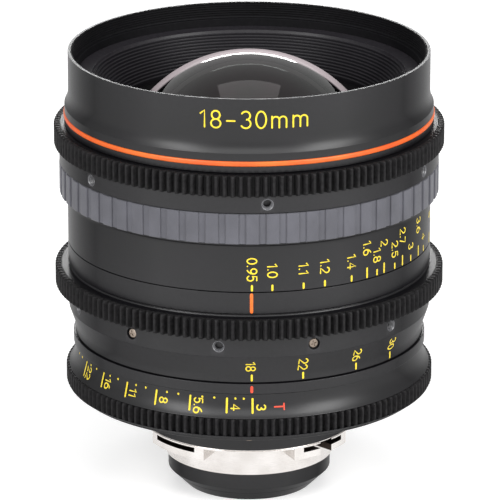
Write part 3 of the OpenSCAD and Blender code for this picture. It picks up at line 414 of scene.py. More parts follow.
def dark_coated_glass(name, clear):
    """Thick coated glass over a black cell: a mirror-dark skin, partly clear, with a pale rim that is a
    painted reflection.

    The rim is a diffuse colour mixed in by Layer Weight, so it follows the camera. That is a known
    fault: it ought to be gloss.
    """
    finish, tree, shader = new_finish(name)
    shader.inputs["Base Color"].default_value = screen(6, 6, 6)
    tree.links.new(spread(tree, noise(tree, 900), 0.3, 0.8, 0.015, 0.06), shader.inputs["Roughness"])
    tree.links.new(blended(tree, spread(tree, noise(tree, 30), 0.4, 0.6, 0, 1), screen(226, 232, 226),
                           screen(236, 222, 226)), shader.inputs["Specular Tint"])
    through = tree.nodes.new("ShaderNodeBsdfTransparent")
    through.inputs["Color"].default_value = (0.8, 0.84, 0.82, 1)
    inside = tree.nodes.new("ShaderNodeMixShader")
    inside.inputs[0].default_value = clear
    tree.links.new(shader.outputs[0], inside.inputs[1])
    tree.links.new(through.outputs[0], inside.inputs[2])
    rim = tree.nodes.new("ShaderNodeLayerWeight")
    rim.inputs["Blend"].default_value = 0.5
    # The pale rim: a diffuse colour mixed in at a slant to the camera, a painted reflection band.
    bloom_and_painted_rim = tree.nodes.new("ShaderNodeBsdfDiffuse")
    bloom_and_painted_rim.inputs["Color"].default_value = screen(236, 222, 226)
    whole = tree.nodes.new("ShaderNodeMixShader")
    tree.links.new(spread(tree, rim.outputs["Facing"], 0.71, 0.75, 0, 0.62), whole.inputs[0])
    tree.links.new(inside.outputs[0], whole.inputs[1])
    tree.links.new(bloom_and_painted_rim.outputs[0], whole.inputs[2])
    tree.links.new(whole.outputs[0], tree.nodes["Material Output"].inputs["Surface"])
    return finish


front_glass_skin = dark_coated_glass("coated_front_glass", 0.22)
inner_glass_skin = coated_glass("coated_inner_glass", (0.86, 0.96, 0.94, 1), 160)
refinish(["rear_element_1", "rear_element_2", "rear_element_3", "variator_element_1",
          "variator_element_2", "compensator_element", "second_element", "third_element"],
         inner_glass_skin)
brass_skin = cut_steel("turned_brass", screen(150, 118, 66), screen(196, 164, 104), rough=(0.25, 0.4))
refinish(["cam_retaining_ring", "focus_sleeve", "cam_tube", "iris_cam_ring"], brass_skin)
refinish(["variator_cell", "compensator_cell", "front_cell"], matt_skin)
refinish(["front_followers", "variator_followers", "compensator_followers", "zoom_drive_pins",
          "iris_coupling_pin"], screw_skin)


# Iris blades: nine leaves of thin sheet steel, blackened, with a soft sheen.
# Their finish has no turning marks, only an even grain.
blade_skin = cut_steel("blackened_blade_steel", screen(38, 38, 40), screen(58, 58, 60),
                       rough=(0.35, 0.5), colour_stretch=(1, 1, 1))
refinish(["iris_blade_%d" % i for i in range(1, 10)], blade_skin)


# Iris ring: a black ring with a milled gear, a hollow curve that carries the stop scale, and a rim.
# The dials are engraved with a round cutter and filled with paint, so each stroke has round ends.
GEAR_MODULE = 0.8


def toothed(form, teeth, tip, root, low, high):
    """Gear teeth of module 0.8 round the axis, each with chamfered ends and broken edges."""
    pitch = teeth * GEAR_MODULE / 2
    quarter = 90 / teeth
    lean = math.degrees(math.tan(math.radians(20)))
    half = [(root - 0.3, quarter + lean * 1.3 / pitch), (root, quarter + lean * 1.0 / pitch),
            (pitch, quarter), (tip, quarter - lean * 0.8 / pitch)]
    outline = [(r, -a) for r, a in half] + [(r, a) for r, a in reversed(half)]
    tooth = bmesh.new()
    verts = [tooth.verts.new((r * MM * math.sin(math.radians(a)),
                              -r * MM * math.cos(math.radians(a)), low * MM)) for r, a in outline]
    bottom = tooth.faces.new(verts)
    grown = bmesh.ops.extrude_face_region(tooth, geom=[bottom])["geom"]
    top = [g for g in grown if isinstance(g, bmesh.types.BMVert)]
    bmesh.ops.translate(tooth, verts=top, vec=(0, 0, (high - low) * MM))
    bmesh.ops.recalc_face_normals(tooth, faces=tooth.faces)
    tip_edges = [e for e in tooth.edges
                 if all(v.co.xy.length > (tip - 0.05) * MM for v in e.verts) and
                 abs(e.verts[0].co.z - e.verts[1].co.z) < 0.1 * MM]
    bmesh.ops.bevel(tooth, geom=tip_edges, offset=0.42 * MM, offset_type="OFFSET", segments=1, profile=0.5,
                    affect="EDGES", material=-1, clamp_overlap=False)
    sharp = [e for e in tooth.edges if e.calc_face_angle(0) > math.radians(25) and
             min(v.co.xy.length for v in e.verts) > (root - 0.05) * MM]
    bmesh.ops.bevel(tooth, geom=sharp, offset=0.07 * MM, offset_type="OFFSET", segments=1, profile=0.5,
                    affect="EDGES", material=-1, clamp_overlap=True)
    all_round(tooth, teeth)
    joined(form, tooth)


def gear_finish(ring, root, low, high):
    """Gives a ring's teeth, and the floor between them, the darker finish that the milling left."""
    ring.data.materials.append(gear_skin)
    for face in ring.data.polygons:
        middle = face.center / MM
        if middle.xy.length > root - 0.25 and low - 0.05 < middle.z < high + 0.05:
            face.material_index = 1


def arc(cx, cy, rx, ry, start, end, count=12):
    """Points of a round stroke, in shares of the letter's height."""
    return [(cx + rx * math.cos(math.radians(start + (end - start) * i / count)),
             cy + ry * math.sin(math.radians(start + (end - start) * i / count))) for i in range(count + 1)]


STROKES = {
    "0": (0.62, [arc(0.31, 0.5, 0.29, 0.5, 0, 360, 24)]),
    "1": (0.36, [[(0.02, 0.8), (0.26, 1), (0.26, 0)]]),
    "2": (0.62, [arc(0.31, 0.71, 0.28, 0.29, 165, -35) + [(0.03, 0), (0.6, 0)]]),
    "3": (0.6, [arc(0.29, 0.745, 0.25, 0.255, 150, -80) + arc(0.29, 0.27, 0.28, 0.27, 80, -150)]),
    "4": (0.66, [[(0.47, 0), (0.47, 1), (0.03, 0.3), (0.64, 0.3)]]),
    "5": (0.6, [[(0.54, 1), (0.12, 1), (0.07, 0.56)] + arc(0.3, 0.33, 0.28, 0.33, 135, -150)]),
    "6": (0.62, [arc(0.31, 0.31, 0.28, 0.31, 0, 360, 20), arc(0.75, 0.35, 0.72, 0.72, 175, 118, 6)]),
    "8": (0.6, [arc(0.3, 0.75, 0.24, 0.25, 0, 360, 18), arc(0.3, 0.25, 0.28, 0.26, 0, 360, 20)]),
    "9": (0.62, [arc(0.31, 0.69, 0.28, 0.31, 0, 360, 20), arc(-0.13, 0.65, 0.72, 0.72, -5, -62, 6)]),
    "7": (0.58, [[(0.02, 1), (0.56, 1), (0.2, 0)]]),
    "-": (0.62, [[(0.08, 0.42), (0.54, 0.42)]]),
    ".": (0.16, [[(0.07, 0.03), (0.09, 0.03)]]),
    "m": (0.98, [[(0.06, 0), (0.06, 0.68)], [(0.06, 0.44)] + arc(0.27, 0.46, 0.21, 0.2, 180, 0, 8) +
                 [(0.48, 0)], [(0.48, 0.44)] + arc(0.69, 0.46, 0.21, 0.2, 180, 0, 8) + [(0.9, 0)]]),
    "T": (0.6, [[(0.0, 1), (0.6, 1)], [(0.3, 1), (0.3, 0)]]),
}
LETTER_GAP = 0.16


def engraved(strokes, width):
    """A bmesh of round-ended paint strokes, from lists of points in millimetres on the flat."""
    form = bmesh.new()
    for points in strokes:
        line = bpy.data.curves.new("stroke", "CURVE")
        line.dimensions = "3D"
        line.bevel_depth = width / 2
        line.bevel_resolution = 2
        line.use_fill_caps = True
        track = line.splines.new("POLY")
        closed = len(points) > 12 and math.dist(points[0], points[-1]) < 0.001
        points = points[:-1] if closed else points
        track.points.add(len(points) - 1)
        for spot, (u, v) in zip(track.points, points):
            spot.co = (u, v, 0, 1)
        track.use_cyclic_u = closed
        drawn = bpy.data.objects.new("stroke", line)
        mesh = bpy.data.meshes.new_from_object(drawn)
        form.from_mesh(mesh)
        bpy.data.objects.remove(drawn)
        bpy.data.curves.remove(line)
        bpy.data.meshes.remove(mesh)
        if not closed:
            for u, v in (points[0], points[-1]):
                bmesh.ops.create_uvsphere(form, u_segments=10, v_segments=6, radius=width / 2,
                                          matrix=Matrix.Translation((u, v, 0)))
    bmesh.ops.remove_doubles(form, verts=form.verts, dist=0.002)
    return form


def words(text, height, width, gap=LETTER_GAP):
    """The strokes of a line of text, centred."""
    strokes, at = [], 0.0
    for letter in text:
        wide, lines = STROKES[letter]
        strokes += [[((x + at) * height, (y - 0.5) * height) for x, y in line] for line in lines]
        at += wide + gap
    length = (at - gap) * height
    return engraved([[(x - length / 2, y) for x, y in line] for line in strokes], width)


def dash(length, width):
    """One straight stroke, centred."""
    return engraved([[(-length / 2, 0), (length / 2, 0)]], width)


def laid(form, angle, level, radius, reads_down=True, proud=0.02):
    """Bends flat strokes onto a ring: at an angle and a level, on a surface given by radius(level)."""
    for vert in form.verts:
        u, v, w = vert.co
        across, up = (v, -u) if reads_down else (u, v)
        height = level + up
        r = radius(height)
        turn = math.radians(angle) + across / r
        out = r + proud + w * 0.1
        vert.co = (out * math.sin(turn) * MM, -out * math.cos(turn) * MM, height * MM)
    return form


def paint(name, colour):
    """Enamel rubbed into the engraving: a little uneven, with a soft gloss."""
    finish, tree, shader = new_finish(name)
    dark = tuple(c * 0.8 for c in colour[:3]) + (1.0,)
    tree.links.new(blended(tree, spread(tree, noise(tree, 1400), 0.35, 0.65, 0, 1), dark, colour),
                   shader.inputs["Base Color"])
    tree.links.new(spread(tree, noise(tree, 3000), 0.3, 0.7, 0.4, 0.6), shader.inputs["Roughness"])
    return finish


yellow_paint = paint("yellow_dial_paint", screen(250, 222, 50))
orange_paint = paint("orange_index_paint", screen(252, 120, 40))
red_paint = paint("red_index_paint", screen(240, 78, 50))

Z_IRIS, Z_IRIS_GEAR, Z_IRIS_BAND, Z_IRIS_TOP = 17.4, 18.0, 23.5, 30.9
R_BORE, R_IRIS_ROOT, R_IRIS_TIP, R_IRIS_BAND, R_IRIS_TOP = 53.95, 56.6, 58.4, 57.5, 55.2
iris_hollow = curve_points((R_IRIS_BAND, Z_IRIS_BAND + 0.15), (R_IRIS_TOP, Z_IRIS_BAND + 2.5),
                           (R_IRIS_TOP, Z_IRIS_TOP), 14)
iris_form = turned([(R_BORE, Z_IRIS), (57.7, Z_IRIS), (58, Z_IRIS + 0.3), (58, Z_IRIS_GEAR - 0.1),
                    (R_IRIS_ROOT, Z_IRIS_GEAR), (R_IRIS_ROOT, Z_IRIS_BAND - 0.15),
                    (R_IRIS_BAND, Z_IRIS_BAND)] + iris_hollow + [(R_BORE, Z_IRIS_TOP)])
toothed(iris_form, 144, R_IRIS_TIP, R_IRIS_ROOT, Z_IRIS_GEAR, Z_IRIS_BAND)
iris_ring = piece("iris_dial_ring", iris_form, black_skin, "iris_ring", ["iris_ring"])
gear_finish(iris_ring, R_IRIS_ROOT, Z_IRIS_GEAR, Z_IRIS_BAND)


def on_curve(points):
    """The radius at a level on a turned curve."""
    def radius(level):
        for (r0, z0), (r1, z1) in zip(points, points[1:]):
            if z0 <= level <= z1:
                return r0 + (r1 - r0) * (level - z0) / (z1 - z0)
        return points[0][0] if level < points[0][1] else points[-1][0]
    return radius


def upright(radius):
    """The radius at any level on a straight wall."""
    return lambda level: radius


iris_radius = on_curve(iris_hollow)
DIGIT_STROKE, LINE_STROKE, BAR_STROKE = 0.42, 0.62, 0.66
stops = bmesh.new()
for angle, number in ((1.1, "3"), (-7.1, "4"), (-19.2, "5.6"), (-31.3, "8"), (-43.4, "11"), (-55.5, "16"),
                      (-67.9, "22")):
    joined(stops, laid(dash(4.2, LINE_STROKE), angle, 27.35, iris_radius))
    mark = words(number, 2.7, DIGIT_STROKE)
    joined(stops, laid(mark, angle + 2.75, 26.8, iris_radius))
for angle in (-1.7, -4.4, -11.25, -15.2, -23.4, -27.5, -35.6, -39.6, -47.9, -52.0, -60.2, -64.4, -72.9, -76.9):
    joined(stops, laid(dash(0.06, BAR_STROKE), angle, 29.5, iris_radius))
piece("stop_scale", stops, yellow_paint, "iris_ring")
stop_letter = words("T", 3.0, DIGIT_STROKE)
piece("stop_scale_letter", laid(stop_letter, 9.65, 26.8, iris_radius), red_paint, "iris_ring")


# Iris index ring: a narrow fixed ring between the iris and zoom rings.
# It carries a short red index mark, a little to the right of the middle.
Z_INDEX_LOW, Z_INDEX_HIGH, R_INDEX = 31.2, 34.5, 56
index_form = turned([(53.9, Z_INDEX_LOW), (R_INDEX, Z_INDEX_LOW), (R_INDEX, Z_INDEX_HIGH),
                     (53.9, Z_INDEX_HIGH)], corner=0.2)
piece("iris_index_band", index_form, black_skin, "barrel", ["iris_index_ring"])
index_mark = laid(dash(1.5, 0.85), 0.85, 32.75, upright(R_INDEX))
piece("iris_index_mark", index_mark, red_paint, "barrel")


# Zoom ring: an inner sleeve with a tapered band for the focal lengths, and an outer ring with the gear
# and the lever holes, held together by six countersunk screws.
Z_ZOOM, Z_CONE, Z_BAND, Z_GEAR, Z_LIP, Z_ZOOM_TOP = 34.8, 37.5, 43.6, 50.4, 56.9, 57.6
R_ZOOM_LOW, R_ZOOM = 55.3, 57.4
R_ROOT, R_TIP, TEETH = 59.8, 61.6, 152
R_SLEEVE = 55
sleeve_form = turned([(R_BORE, Z_ZOOM), (R_ZOOM_LOW, Z_ZOOM), (R_ZOOM_LOW, Z_CONE), (R_ZOOM, Z_BAND),
                      (R_SLEEVE, Z_BAND), (R_SLEEVE, Z_ZOOM_TOP), (R_BORE, Z_ZOOM_TOP)])
piece("zoom_dial_sleeve", sleeve_form, black_skin, "zoom_ring", ["zoom_sleeve"])


def carved(form, tool, overlapping=False):
    """Cuts one bmesh out of another; the tool's own parts may overlap."""
    parts = []
    for tag, source in (("blank", form), ("tool", tool)):
        mesh = bpy.data.meshes.new(tag)
        source.to_mesh(mesh)
        source.free()
        parts.append(bpy.data.objects.new(tag, mesh))
        bpy.context.scene.collection.objects.link(parts[-1])
    cutting = parts[0].modifiers.new("cutting", "BOOLEAN")
    cutting.object = parts[1]
    cutting.operation = "DIFFERENCE"
    cutting.solver = "EXACT"
    cutting.use_self = overlapping
    cut = bpy.data.meshes.new_from_object(parts[0].evaluated_get(bpy.context.evaluated_depsgraph_get()))
    result = bmesh.new()
    result.from_mesh(cut)
    bpy.data.meshes.remove(cut)
    for part in parts:
        bpy.data.objects.remove(part)
    return result


def with_holes(form, count, first, level, radius, r_in, r_out):
    """Drills round holes into a turned ring, from one radius to another."""
    drill = bmesh.new()
    bmesh.ops.create_cone(drill, cap_ends=True, segments=32, radius1=radius * MM, radius2=radius * MM,
                          depth=(r_out - r_in) * MM)
    rotated(drill, 90, "X")
    bmesh.ops.translate(drill, verts=drill.verts, vec=(0, -(r_in + r_out) / 2 * MM, level * MM))
    return carved(form, round_about(drill, count, first))


def round_about(form, count, first):
    """Repeats a form made at the front round the axis, from an angle on."""
    rotated(form, first, "Z")
    all_round(form, count)
    return form


def stood_out(form, level):
    """Turns a form made round +Z so that its +Z points out of the front of the barrel, at a level."""
    rotated(form, 90, "X")
    bmesh.ops.translate(form, verts=form.verts, vec=(0, 0, level * MM))
    return form


def lever_bush(level, r_in, r_out, count, first):
    """The tapped bush of each lever hole: a chamfer, and threads going down, whose edges its finish paints
    bright as glints.
    """
    outline = [(1.85, r_out - 0.02), (1.85, r_in), (1.5, r_in)]
    z = r_in
    while z < r_out - 0.75:
        outline += [(1.5, z + 0.1), (1.25, z + 0.3), (1.5, z + 0.5)]
        z += 0.5
    outline += [(1.4, r_out - 0.35), (1.75, r_out - 0.02)]
    bush = turned(outline, corner=0.03, steps=32)
    return round_about(stood_out(bush, level), count, first)


Z_ZOOM_LEVER, R_LEVER_HOLE = 47, 1.85
LEVERS, ZOOM_LEVER_TURN, ZOOM_SCREW_TURN = 6, -9.5, 20.5
zoom_form = turned([(R_SLEEVE, Z_BAND), (R_ZOOM, Z_BAND), (R_ZOOM, Z_GEAR), (R_ROOT, Z_GEAR),
                    (R_ROOT, Z_LIP), (57.1, Z_LIP), (57.1, Z_LIP + 0.2), (56.95, Z_LIP + 0.35),
                    (57.1, Z_LIP + 0.5), (57.1, Z_ZOOM_TOP), (R_SLEEVE, Z_ZOOM_TOP)], corner=0.15)
zoom_form = with_holes(zoom_form, LEVERS, ZOOM_LEVER_TURN, Z_ZOOM_LEVER, R_LEVER_HOLE, 55.3, 59)
zoom_form = with_holes(zoom_form, LEVERS, ZOOM_SCREW_TURN, Z_ZOOM_LEVER, 1.9, 56.3, 59)
toothed(zoom_form, TEETH, R_TIP, R_ROOT, Z_GEAR, Z_LIP)
zoom_band = piece("zoom_gear_band", zoom_form, black_skin, "zoom_ring", ["zoom_gear_ring"])
gear_finish(zoom_band, R_ROOT, Z_GEAR, Z_LIP)
# The edge colour is near white: the chamfer rim and the thread edges carry a painted glint.
bush_skin = anodised("bare_bush", screen(60, 60, 64), screen(84, 84, 88), screen(190, 190, 192),
                     rough=(0.25, 0.35), specular=0.8)
piece("zoom_lever_bushes", lever_bush(Z_ZOOM_LEVER, 55.35, R_ZOOM, LEVERS, ZOOM_LEVER_TURN), bush_skin,
      "zoom_ring")

head = turned([(0.02, 55.9), (1.62, 55.9), (1.62, 56.7), (1.3, 56.95), (0.02, 57.0)], corner=0.08, steps=32)
cross = bmesh.new()
for turn in (0, 90):
    bar = bmesh.new()
    bmesh.ops.create_cube(bar, size=1, matrix=Matrix.Diagonal((1.9 * MM, 0.42 * MM, 0.9 * MM, 1)))
    bmesh.ops.translate(bar, verts=bar.verts, vec=(0, 0, 57.1 * MM))
    rotated(bar, turn + 20, "Z")
    joined(cross, bar)
screw_form = carved(head, cross, overlapping=True)
round_about(stood_out(screw_form, Z_ZOOM_LEVER), LEVERS, ZOOM_SCREW_TURN)
piece("zoom_screw_heads", screw_form, screw_skin, "zoom_ring", ["zoom_screws"])

zoom_radius = on_curve([(R_ZOOM_LOW, Z_ZOOM), (R_ZOOM_LOW, Z_CONE), (R_ZOOM, Z_BAND)])
lengths = bmesh.new()
for angle, number in ((0.85, "18"), (17.6, "22"), (36.95, "26"), (52.8, "30")):
    mark = words(number, 2.85, DIGIT_STROKE)
    joined(lengths, laid(mark, angle - 0.35, 40.3, zoom_radius))
    joined(lengths, laid(dash(1.7, LINE_STROKE), angle, 36.3, zoom_radius))
piece("focal_length_scale", lengths, yellow_paint, "zoom_ring")


# Focus index ring: a fixed ring between the zoom and focus rings.
# An orange line runs over nearly its whole height.
Z_FIXED_LOW, Z_FIXED_HIGH, R_SCALE = 57.9, 64.7, 57.45
fixed_form = turned([(53.9, Z_FIXED_LOW), (R_SCALE, Z_FIXED_LOW), (R_SCALE, Z_FIXED_HIGH),
                     (53.9, Z_FIXED_HIGH)])
piece("focus_index_band", fixed_form, black_skin, "barrel", ["focus_index_ring"])
focus_mark = laid(dash(5.6, 1.0), 0.75, (Z_FIXED_LOW + Z_FIXED_HIGH) / 2, upright(R_SCALE))
piece("focus_index_mark", focus_mark, orange_paint, "barrel")


# Focus ring: a scale sleeve that curls out into a shoulder, a rubber grip, a band with the lever holes
# and the gear. The distances are engraved in feet, the whole feet with longer lines.
Z_SCALE, Z_SHOULDER, Z_GRIP, Z_FOCUS_BAND, Z_FOCUS_GEAR, Z_FOCUS_TOP = 65.0, 79.7, 80.7, 91.1, 96.5, 103.1
R_FOCUS_SLEEVE = 56.4
shoulder = curve_points((R_SCALE, Z_SHOULDER - 1.2), (R_SCALE, Z_GRIP - 0.45), (R_SCALE + 1, Z_GRIP - 0.4), 8)
scale_form = turned([(R_FOCUS_SLEEVE, Z_SCALE), (R_SCALE, Z_SCALE)] + shoulder +
                    [(R_SCALE + 1, Z_GRIP), (R_FOCUS_SLEEVE, Z_GRIP)])
piece("distance_scale_sleeve", scale_form, black_skin, "focus_ring", ["focus_scale_ring"])

Z_FOCUS_LEVER, FOCUS_LEVER_TURN = 93.8, 5.4
focus_form = turned([(R_FOCUS_SLEEVE, Z_GRIP), (R_SCALE, Z_GRIP), (57.6, Z_GRIP + 0.3), (57.6, Z_FOCUS_BAND),
                     (R_ROOT + 0.15, Z_FOCUS_BAND), (R_ROOT + 0.15, Z_FOCUS_GEAR), (R_ROOT, Z_FOCUS_GEAR),
                     (R_ROOT, Z_FOCUS_TOP), (R_FOCUS_SLEEVE, Z_FOCUS_TOP)])
focus_form = with_holes(focus_form, LEVERS, FOCUS_LEVER_TURN, Z_FOCUS_LEVER, R_LEVER_HOLE, 57.2, 62)
toothed(focus_form, TEETH, R_TIP, R_ROOT, Z_FOCUS_GEAR, Z_FOCUS_TOP)
focus_band = piece("focus_gear_band", focus_form, black_skin, "focus_ring",
                   ["focus_lever_ring", "focus_gear_ring"])
gear_finish(focus_band, R_ROOT, Z_FOCUS_GEAR, Z_FOCUS_TOP)
piece("focus_lever_bushes", lever_bush(Z_FOCUS_LEVER, 57.3, R_ROOT + 0.15, LEVERS, FOCUS_LEVER_TURN),
      bush_skin, "focus_ring")

distance = {"0.95": 0.87, "1.0": 7.15, "1.1": 16.95, "1.2": 23.95, "1.4": 33.4, "1.6": 39.4, "1.8": 43.6,
            "2": 46.75, "2.5": 52.0, "2.7": 56.25, "3": 61.5, "3.6": 67.3, "4": 72.3, "5": 81.5, "6": 89.5,
            "8": 100.5, "10": 108.5, "16": 120.5, "30": 131.5}
LONG_LINES = ("1.6", "2", "2.7", "3.6", "5", "8")
NUMBER_LEVELS = {"0.95": 72.2, "1.6": 74.9, "2": 75.1, "2.7": 75.0, "3": 70.2, "3.6": 75.4, "4": 70.3,
                 "5": 74.6, "6": 70.3, "8": 74.6}
INFINITY_TURN = 138.87
feet = bmesh.new()
for number, angle in distance.items():
    tall = 3.5 if number in LONG_LINES else 2.1
    joined(feet, laid(dash(tall - BAR_STROKE, BAR_STROKE), angle, 65.2 + tall / 2, upright(R_SCALE)))
    mark = words(number, 2.95, DIGIT_STROKE)
    joined(feet, laid(mark, angle, NUMBER_LEVELS.get(number, 71.7), upright(R_SCALE)))
infinity = engraved([arc(-1.05, 0, 1.0, 0.75, 0, 360, 20), arc(1.05, 0, 1.0, 0.75, 180, 540, 20)],
                    DIGIT_STROKE)
joined(feet, laid(infinity, INFINITY_TURN, 71.6, upright(R_SCALE)))
joined(feet, laid(dash(1.44, BAR_STROKE), INFINITY_TURN, 66.25, upright(R_SCALE)))
piece("distance_scale", feet, yellow_paint, "focus_ring")


# Rubber grip: a moulded sleeve of matt grey rubber with 60 flat ribs, stretched over the focus ring.
# The ribs have soft edges and a bevelled upper end; the grooves are a little hollow.
def rubber(name, dark, light):
    finish, tree, shader = new_finish(name)
    bloom_and_painted_rim = spread(tree, noise(tree, 160, (1, 1, 0.7)), 0.3, 0.7, 0, 1)
    pores = noise(tree, 4200, (1, 1, 1), 3)
    tree.links.new(blended(tree, bloom_and_painted_rim, dark, light), shader.inputs["Base Color"])
    tree.links.new(spread(tree, pores, 0.3, 0.7, 0.55, 0.75), shader.inputs["Roughness"])
    shader.inputs["Specular IOR Level"].default_value = 0.4
    shader.inputs["Sheen Weight"].default_value = 0.12
    shader.inputs["Sheen Roughness"].default_value = 0.5
    raised(tree, shader, ((pores, 0.00003),))
    return finish


rubber_skin = rubber("grey_grip_rubber", screen(78, 78, 84), screen(90, 90, 97))
GRIP_LOW, GRIP_HIGH, R_GRIP, R_GROOVE = 81.0, 90.8, 60.0, 59.45
grip_form = turned([(57.6, GRIP_LOW), (R_GROOVE, GRIP_LOW), (R_GROOVE, GRIP_HIGH - 0.1), (57.6, GRIP_HIGH)],
                   corner=0.3)
rib = bmesh.new()
RIBS, RIB_W, RIB_T = 60, 4.1, 0.8
bmesh.ops.create_cube(rib, size=1, matrix=Matrix.Translation((0, 0, (GRIP_LOW + GRIP_HIGH) / 2 * MM)) @
                      Matrix.Diagonal((RIB_W * MM, RIB_T * MM, (GRIP_HIGH - GRIP_LOW - 0.1) * MM, 1)))
outer = [e for e in rib.edges if all(v.co.y < 0 for v in e.verts)]
bmesh.ops.bevel(rib, geom=outer, offset=0.34 * MM, offset_type="OFFSET", segments=3, profile=0.5,
                affect="EDGES", material=-1, clamp_overlap=True)
wide = [e for e in rib.edges if abs(e.verts[0].co.x - e.verts[1].co.x) > 2 * MM]
bmesh.ops.subdivide_edges(rib, edges=wide, cuts=3, use_grid_fill=True)
for vert in rib.verts:
    turn = vert.co.x / (R_GRIP * MM)
    reach = R_GRIP * MM - RIB_T * MM / 2 - vert.co.y
    vert.co = (reach * math.sin(turn), -reach * math.cos(turn), vert.co.z)
round_about(rib, RIBS, 1.0)
joined(grip_form, rib)
piece("rubber_grip", grip_form, rubber_skin, "focus_ring", ["focus_grip"])


# Front glass: a deep dome, hollow behind, in the sliding cell that a black raked bezel closes.
# The dome is a little flatter than the solid's, so that its outline follows the photographed one.
Z_CELL, BEZEL_H, R_BEZEL, R_OPENING = 107.4, 2.8, 39.97, 36.3
bezel_form = turned([(R_OPENING, Z_CELL - BEZEL_H), (R_BEZEL, Z_CELL - BEZEL_H), (R_BEZEL, Z_CELL),
                     (R_BEZEL - 0.5, Z_CELL), (R_OPENING, Z_CELL - 1.9)], corner=0.1)
piece("glass_bezel", bezel_form, matt_skin, "front_group", ["front_bezel"])
low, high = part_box("front_element")
DOME_R, HOLLOW_R, EDGE_R = 43.4, 34.7, 36.2
apex, seat = high[2] / MM + 0.2, low[2] / MM
rise = math.degrees(math.acos(EDGE_R / DOME_R))
outer_arc = arc(0, apex - DOME_R, DOME_R, DOME_R, rise, 90, 40)
hollow_z = apex - 3.5 - HOLLOW_R
floor_a = math.degrees(math.asin((seat - hollow_z) / HOLLOW_R))
inner_arc = arc(0, hollow_z, HOLLOW_R, HOLLOW_R, 90, floor_a, 40)
glass = bmesh.new()
rim = [glass.verts.new((max(r, 0) * MM, 0, z * MM)) for r, z in outer_arc + inner_arc + [(EDGE_R, seat)]]
tips = (len(outer_arc) - 1, len(outer_arc))
for i, (a, b) in enumerate(zip(rim, rim[1:] + rim[:1])):
    if i != tips[0]:
        glass.edges.new((a, b))
for i in tips:
    rim[i].co.x = 0
bmesh.ops.spin(glass, geom=glass.verts[:] + glass.edges[:], cent=(0, 0, 0), axis=(0, 0, 1),
               angle=math.tau, steps=160, use_merge=True)
bmesh.ops.remove_doubles(glass, verts=glass.verts, dist=0.001 * MM)
bmesh.ops.recalc_face_normals(glass, faces=glass.faces)
piece("front_dome_glass", glass, front_glass_skin, "front_group", ["front_element"])


# Light baffle: a black cone with twelve fine steps inside the hood, which keep stray light off.
# The steps start just under the ledge that the cone hangs from.
STEPS, STEP_W, STEP_DROP = 12, 0.64, 0.84
R_MOUTH, R_STEPS = 54.0, 49.2
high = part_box("hood_baffle")[1]
Z_LEDGE = high[2] / MM
Z_STEPS = Z_LEDGE - 0.1
baffle_points = [(R_MOUTH, Z_LEDGE - 1.6), (R_MOUTH, Z_LEDGE), (R_STEPS + 0.2, Z_STEPS + 0.05)]
for i in range(STEPS):
    baffle_points += [(R_STEPS - i * STEP_W, Z_STEPS - (i + 1) * STEP_DROP + 0.18),
                      (R_STEPS - i * STEP_W - 0.12, Z_STEPS - (i + 1) * STEP_DROP),
                      (R_STEPS - (i + 1) * STEP_W + 0.08, Z_STEPS - (i + 1) * STEP_DROP + 0.06),
                      (R_STEPS - (i + 1) * STEP_W, Z_STEPS - (i + 1) * STEP_DROP)]
R_THROAT, Z_THROAT = 41.37, 107.71
baffle_points += [(R_THROAT, Z_THROAT), (R_THROAT, Z_THROAT - 1.6), (R_STEPS, Z_LEDGE - 3.6),
                  (R_MOUTH - 1.6, Z_LEDGE - 1.6)]
baffle_form = turned(baffle_points, corner=0.03)
# Its edge colour is far paler than its skin, so the step edges show as pale lines: a painted highlight.
baffle_skin = anodised("baffle_black", screen(19, 18, 21), screen(24, 23, 26), screen(96, 92, 98),
                       rough=(0.34, 0.44), specular=0.25)
piece("stepped_baffle", baffle_form, baffle_skin, "barrel", ["hood_baffle"])


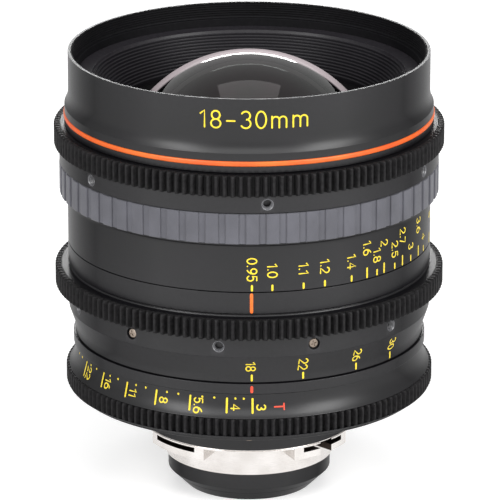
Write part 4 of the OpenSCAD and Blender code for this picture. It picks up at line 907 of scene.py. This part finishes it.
# Hood: the front shell, with the filter thread inside its rim, a straight wall for clamp-on accessories,
# a hollow curve under it and an orange ring set in a groove. The legend is generic.
Z_HOOD, Z_ACCENT, Z_ACCENT_TOP, Z_FLARE, Z_STRAIGHT, Z_RIM = 103.4, 105.4, 107.05, 109.5, 114.5, 126.4
R_FLARE, R_HOOD, R_ACCENT_SEAT, R_CREST = 58.2, 57.0, 57.0, 55.6
thread = []
THREAD_TURNS, THREAD_PITCH = 6, 0.75
for i in range(THREAD_TURNS):
    top = Z_RIM - 0.2 - i * THREAD_PITCH
    thread += [(R_CREST, top), (R_CREST, top - 0.19), (R_CREST + 0.4, top - 0.37), (R_CREST + 0.4, top - 0.56)]
hood_curve = curve_points((R_FLARE, Z_FLARE), (R_HOOD, Z_FLARE + 1.667), (R_HOOD, Z_STRAIGHT), 16)
hood_form = turned([(53.9, Z_HOOD), (R_FLARE, Z_HOOD), (R_FLARE, Z_ACCENT), (R_ACCENT_SEAT, Z_ACCENT),
                    (R_ACCENT_SEAT, Z_ACCENT_TOP), (R_FLARE, Z_ACCENT_TOP)] + hood_curve +
                   [(R_HOOD, Z_RIM), (R_CREST + 0.4, Z_RIM)] + thread +
                   [(R_CREST, 121.7), (R_CREST, 121.4), (R_MOUTH, 121.4), (R_MOUTH, Z_LEDGE - 1.6),
                    (R_MOUTH - 1.6, Z_LEDGE - 1.6), (R_MOUTH - 1.6, 110.6), (53.9, 110.6)], corner=0.15)
hood = piece("hood_shell", hood_form, black_skin, "barrel", ["front_hood"])
hood.data.materials.append(matt_skin)
for face in hood.data.polygons:
    middle = face.center / MM
    if middle.xy.length < R_CREST + 0.5 and middle.z > Z_LEDGE - 2:
        face.material_index = 1

accent_skin = anodised("orange_anodised", screen(226, 84, 32), screen(234, 114, 40), screen(250, 170, 90),
                       rough=(0.3, 0.4))
accent_form = turned([(R_ACCENT_SEAT, Z_ACCENT), (R_FLARE, Z_ACCENT), (R_FLARE + 0.3, Z_ACCENT + 0.3),
                      (R_FLARE + 0.3, Z_ACCENT_TOP - 0.3), (R_FLARE, Z_ACCENT_TOP),
                      (R_ACCENT_SEAT, Z_ACCENT_TOP)], corner=0.2)
piece("orange_accent_band", accent_form, accent_skin, "barrel", ["accent_ring"])

legend = words("18-30mm", 5.3, 0.52, gap=0.26)
laid(legend, 1.7, 119.95, upright(R_HOOD), reads_down=False)
piece("front_legend", legend, yellow_paint, "barrel")
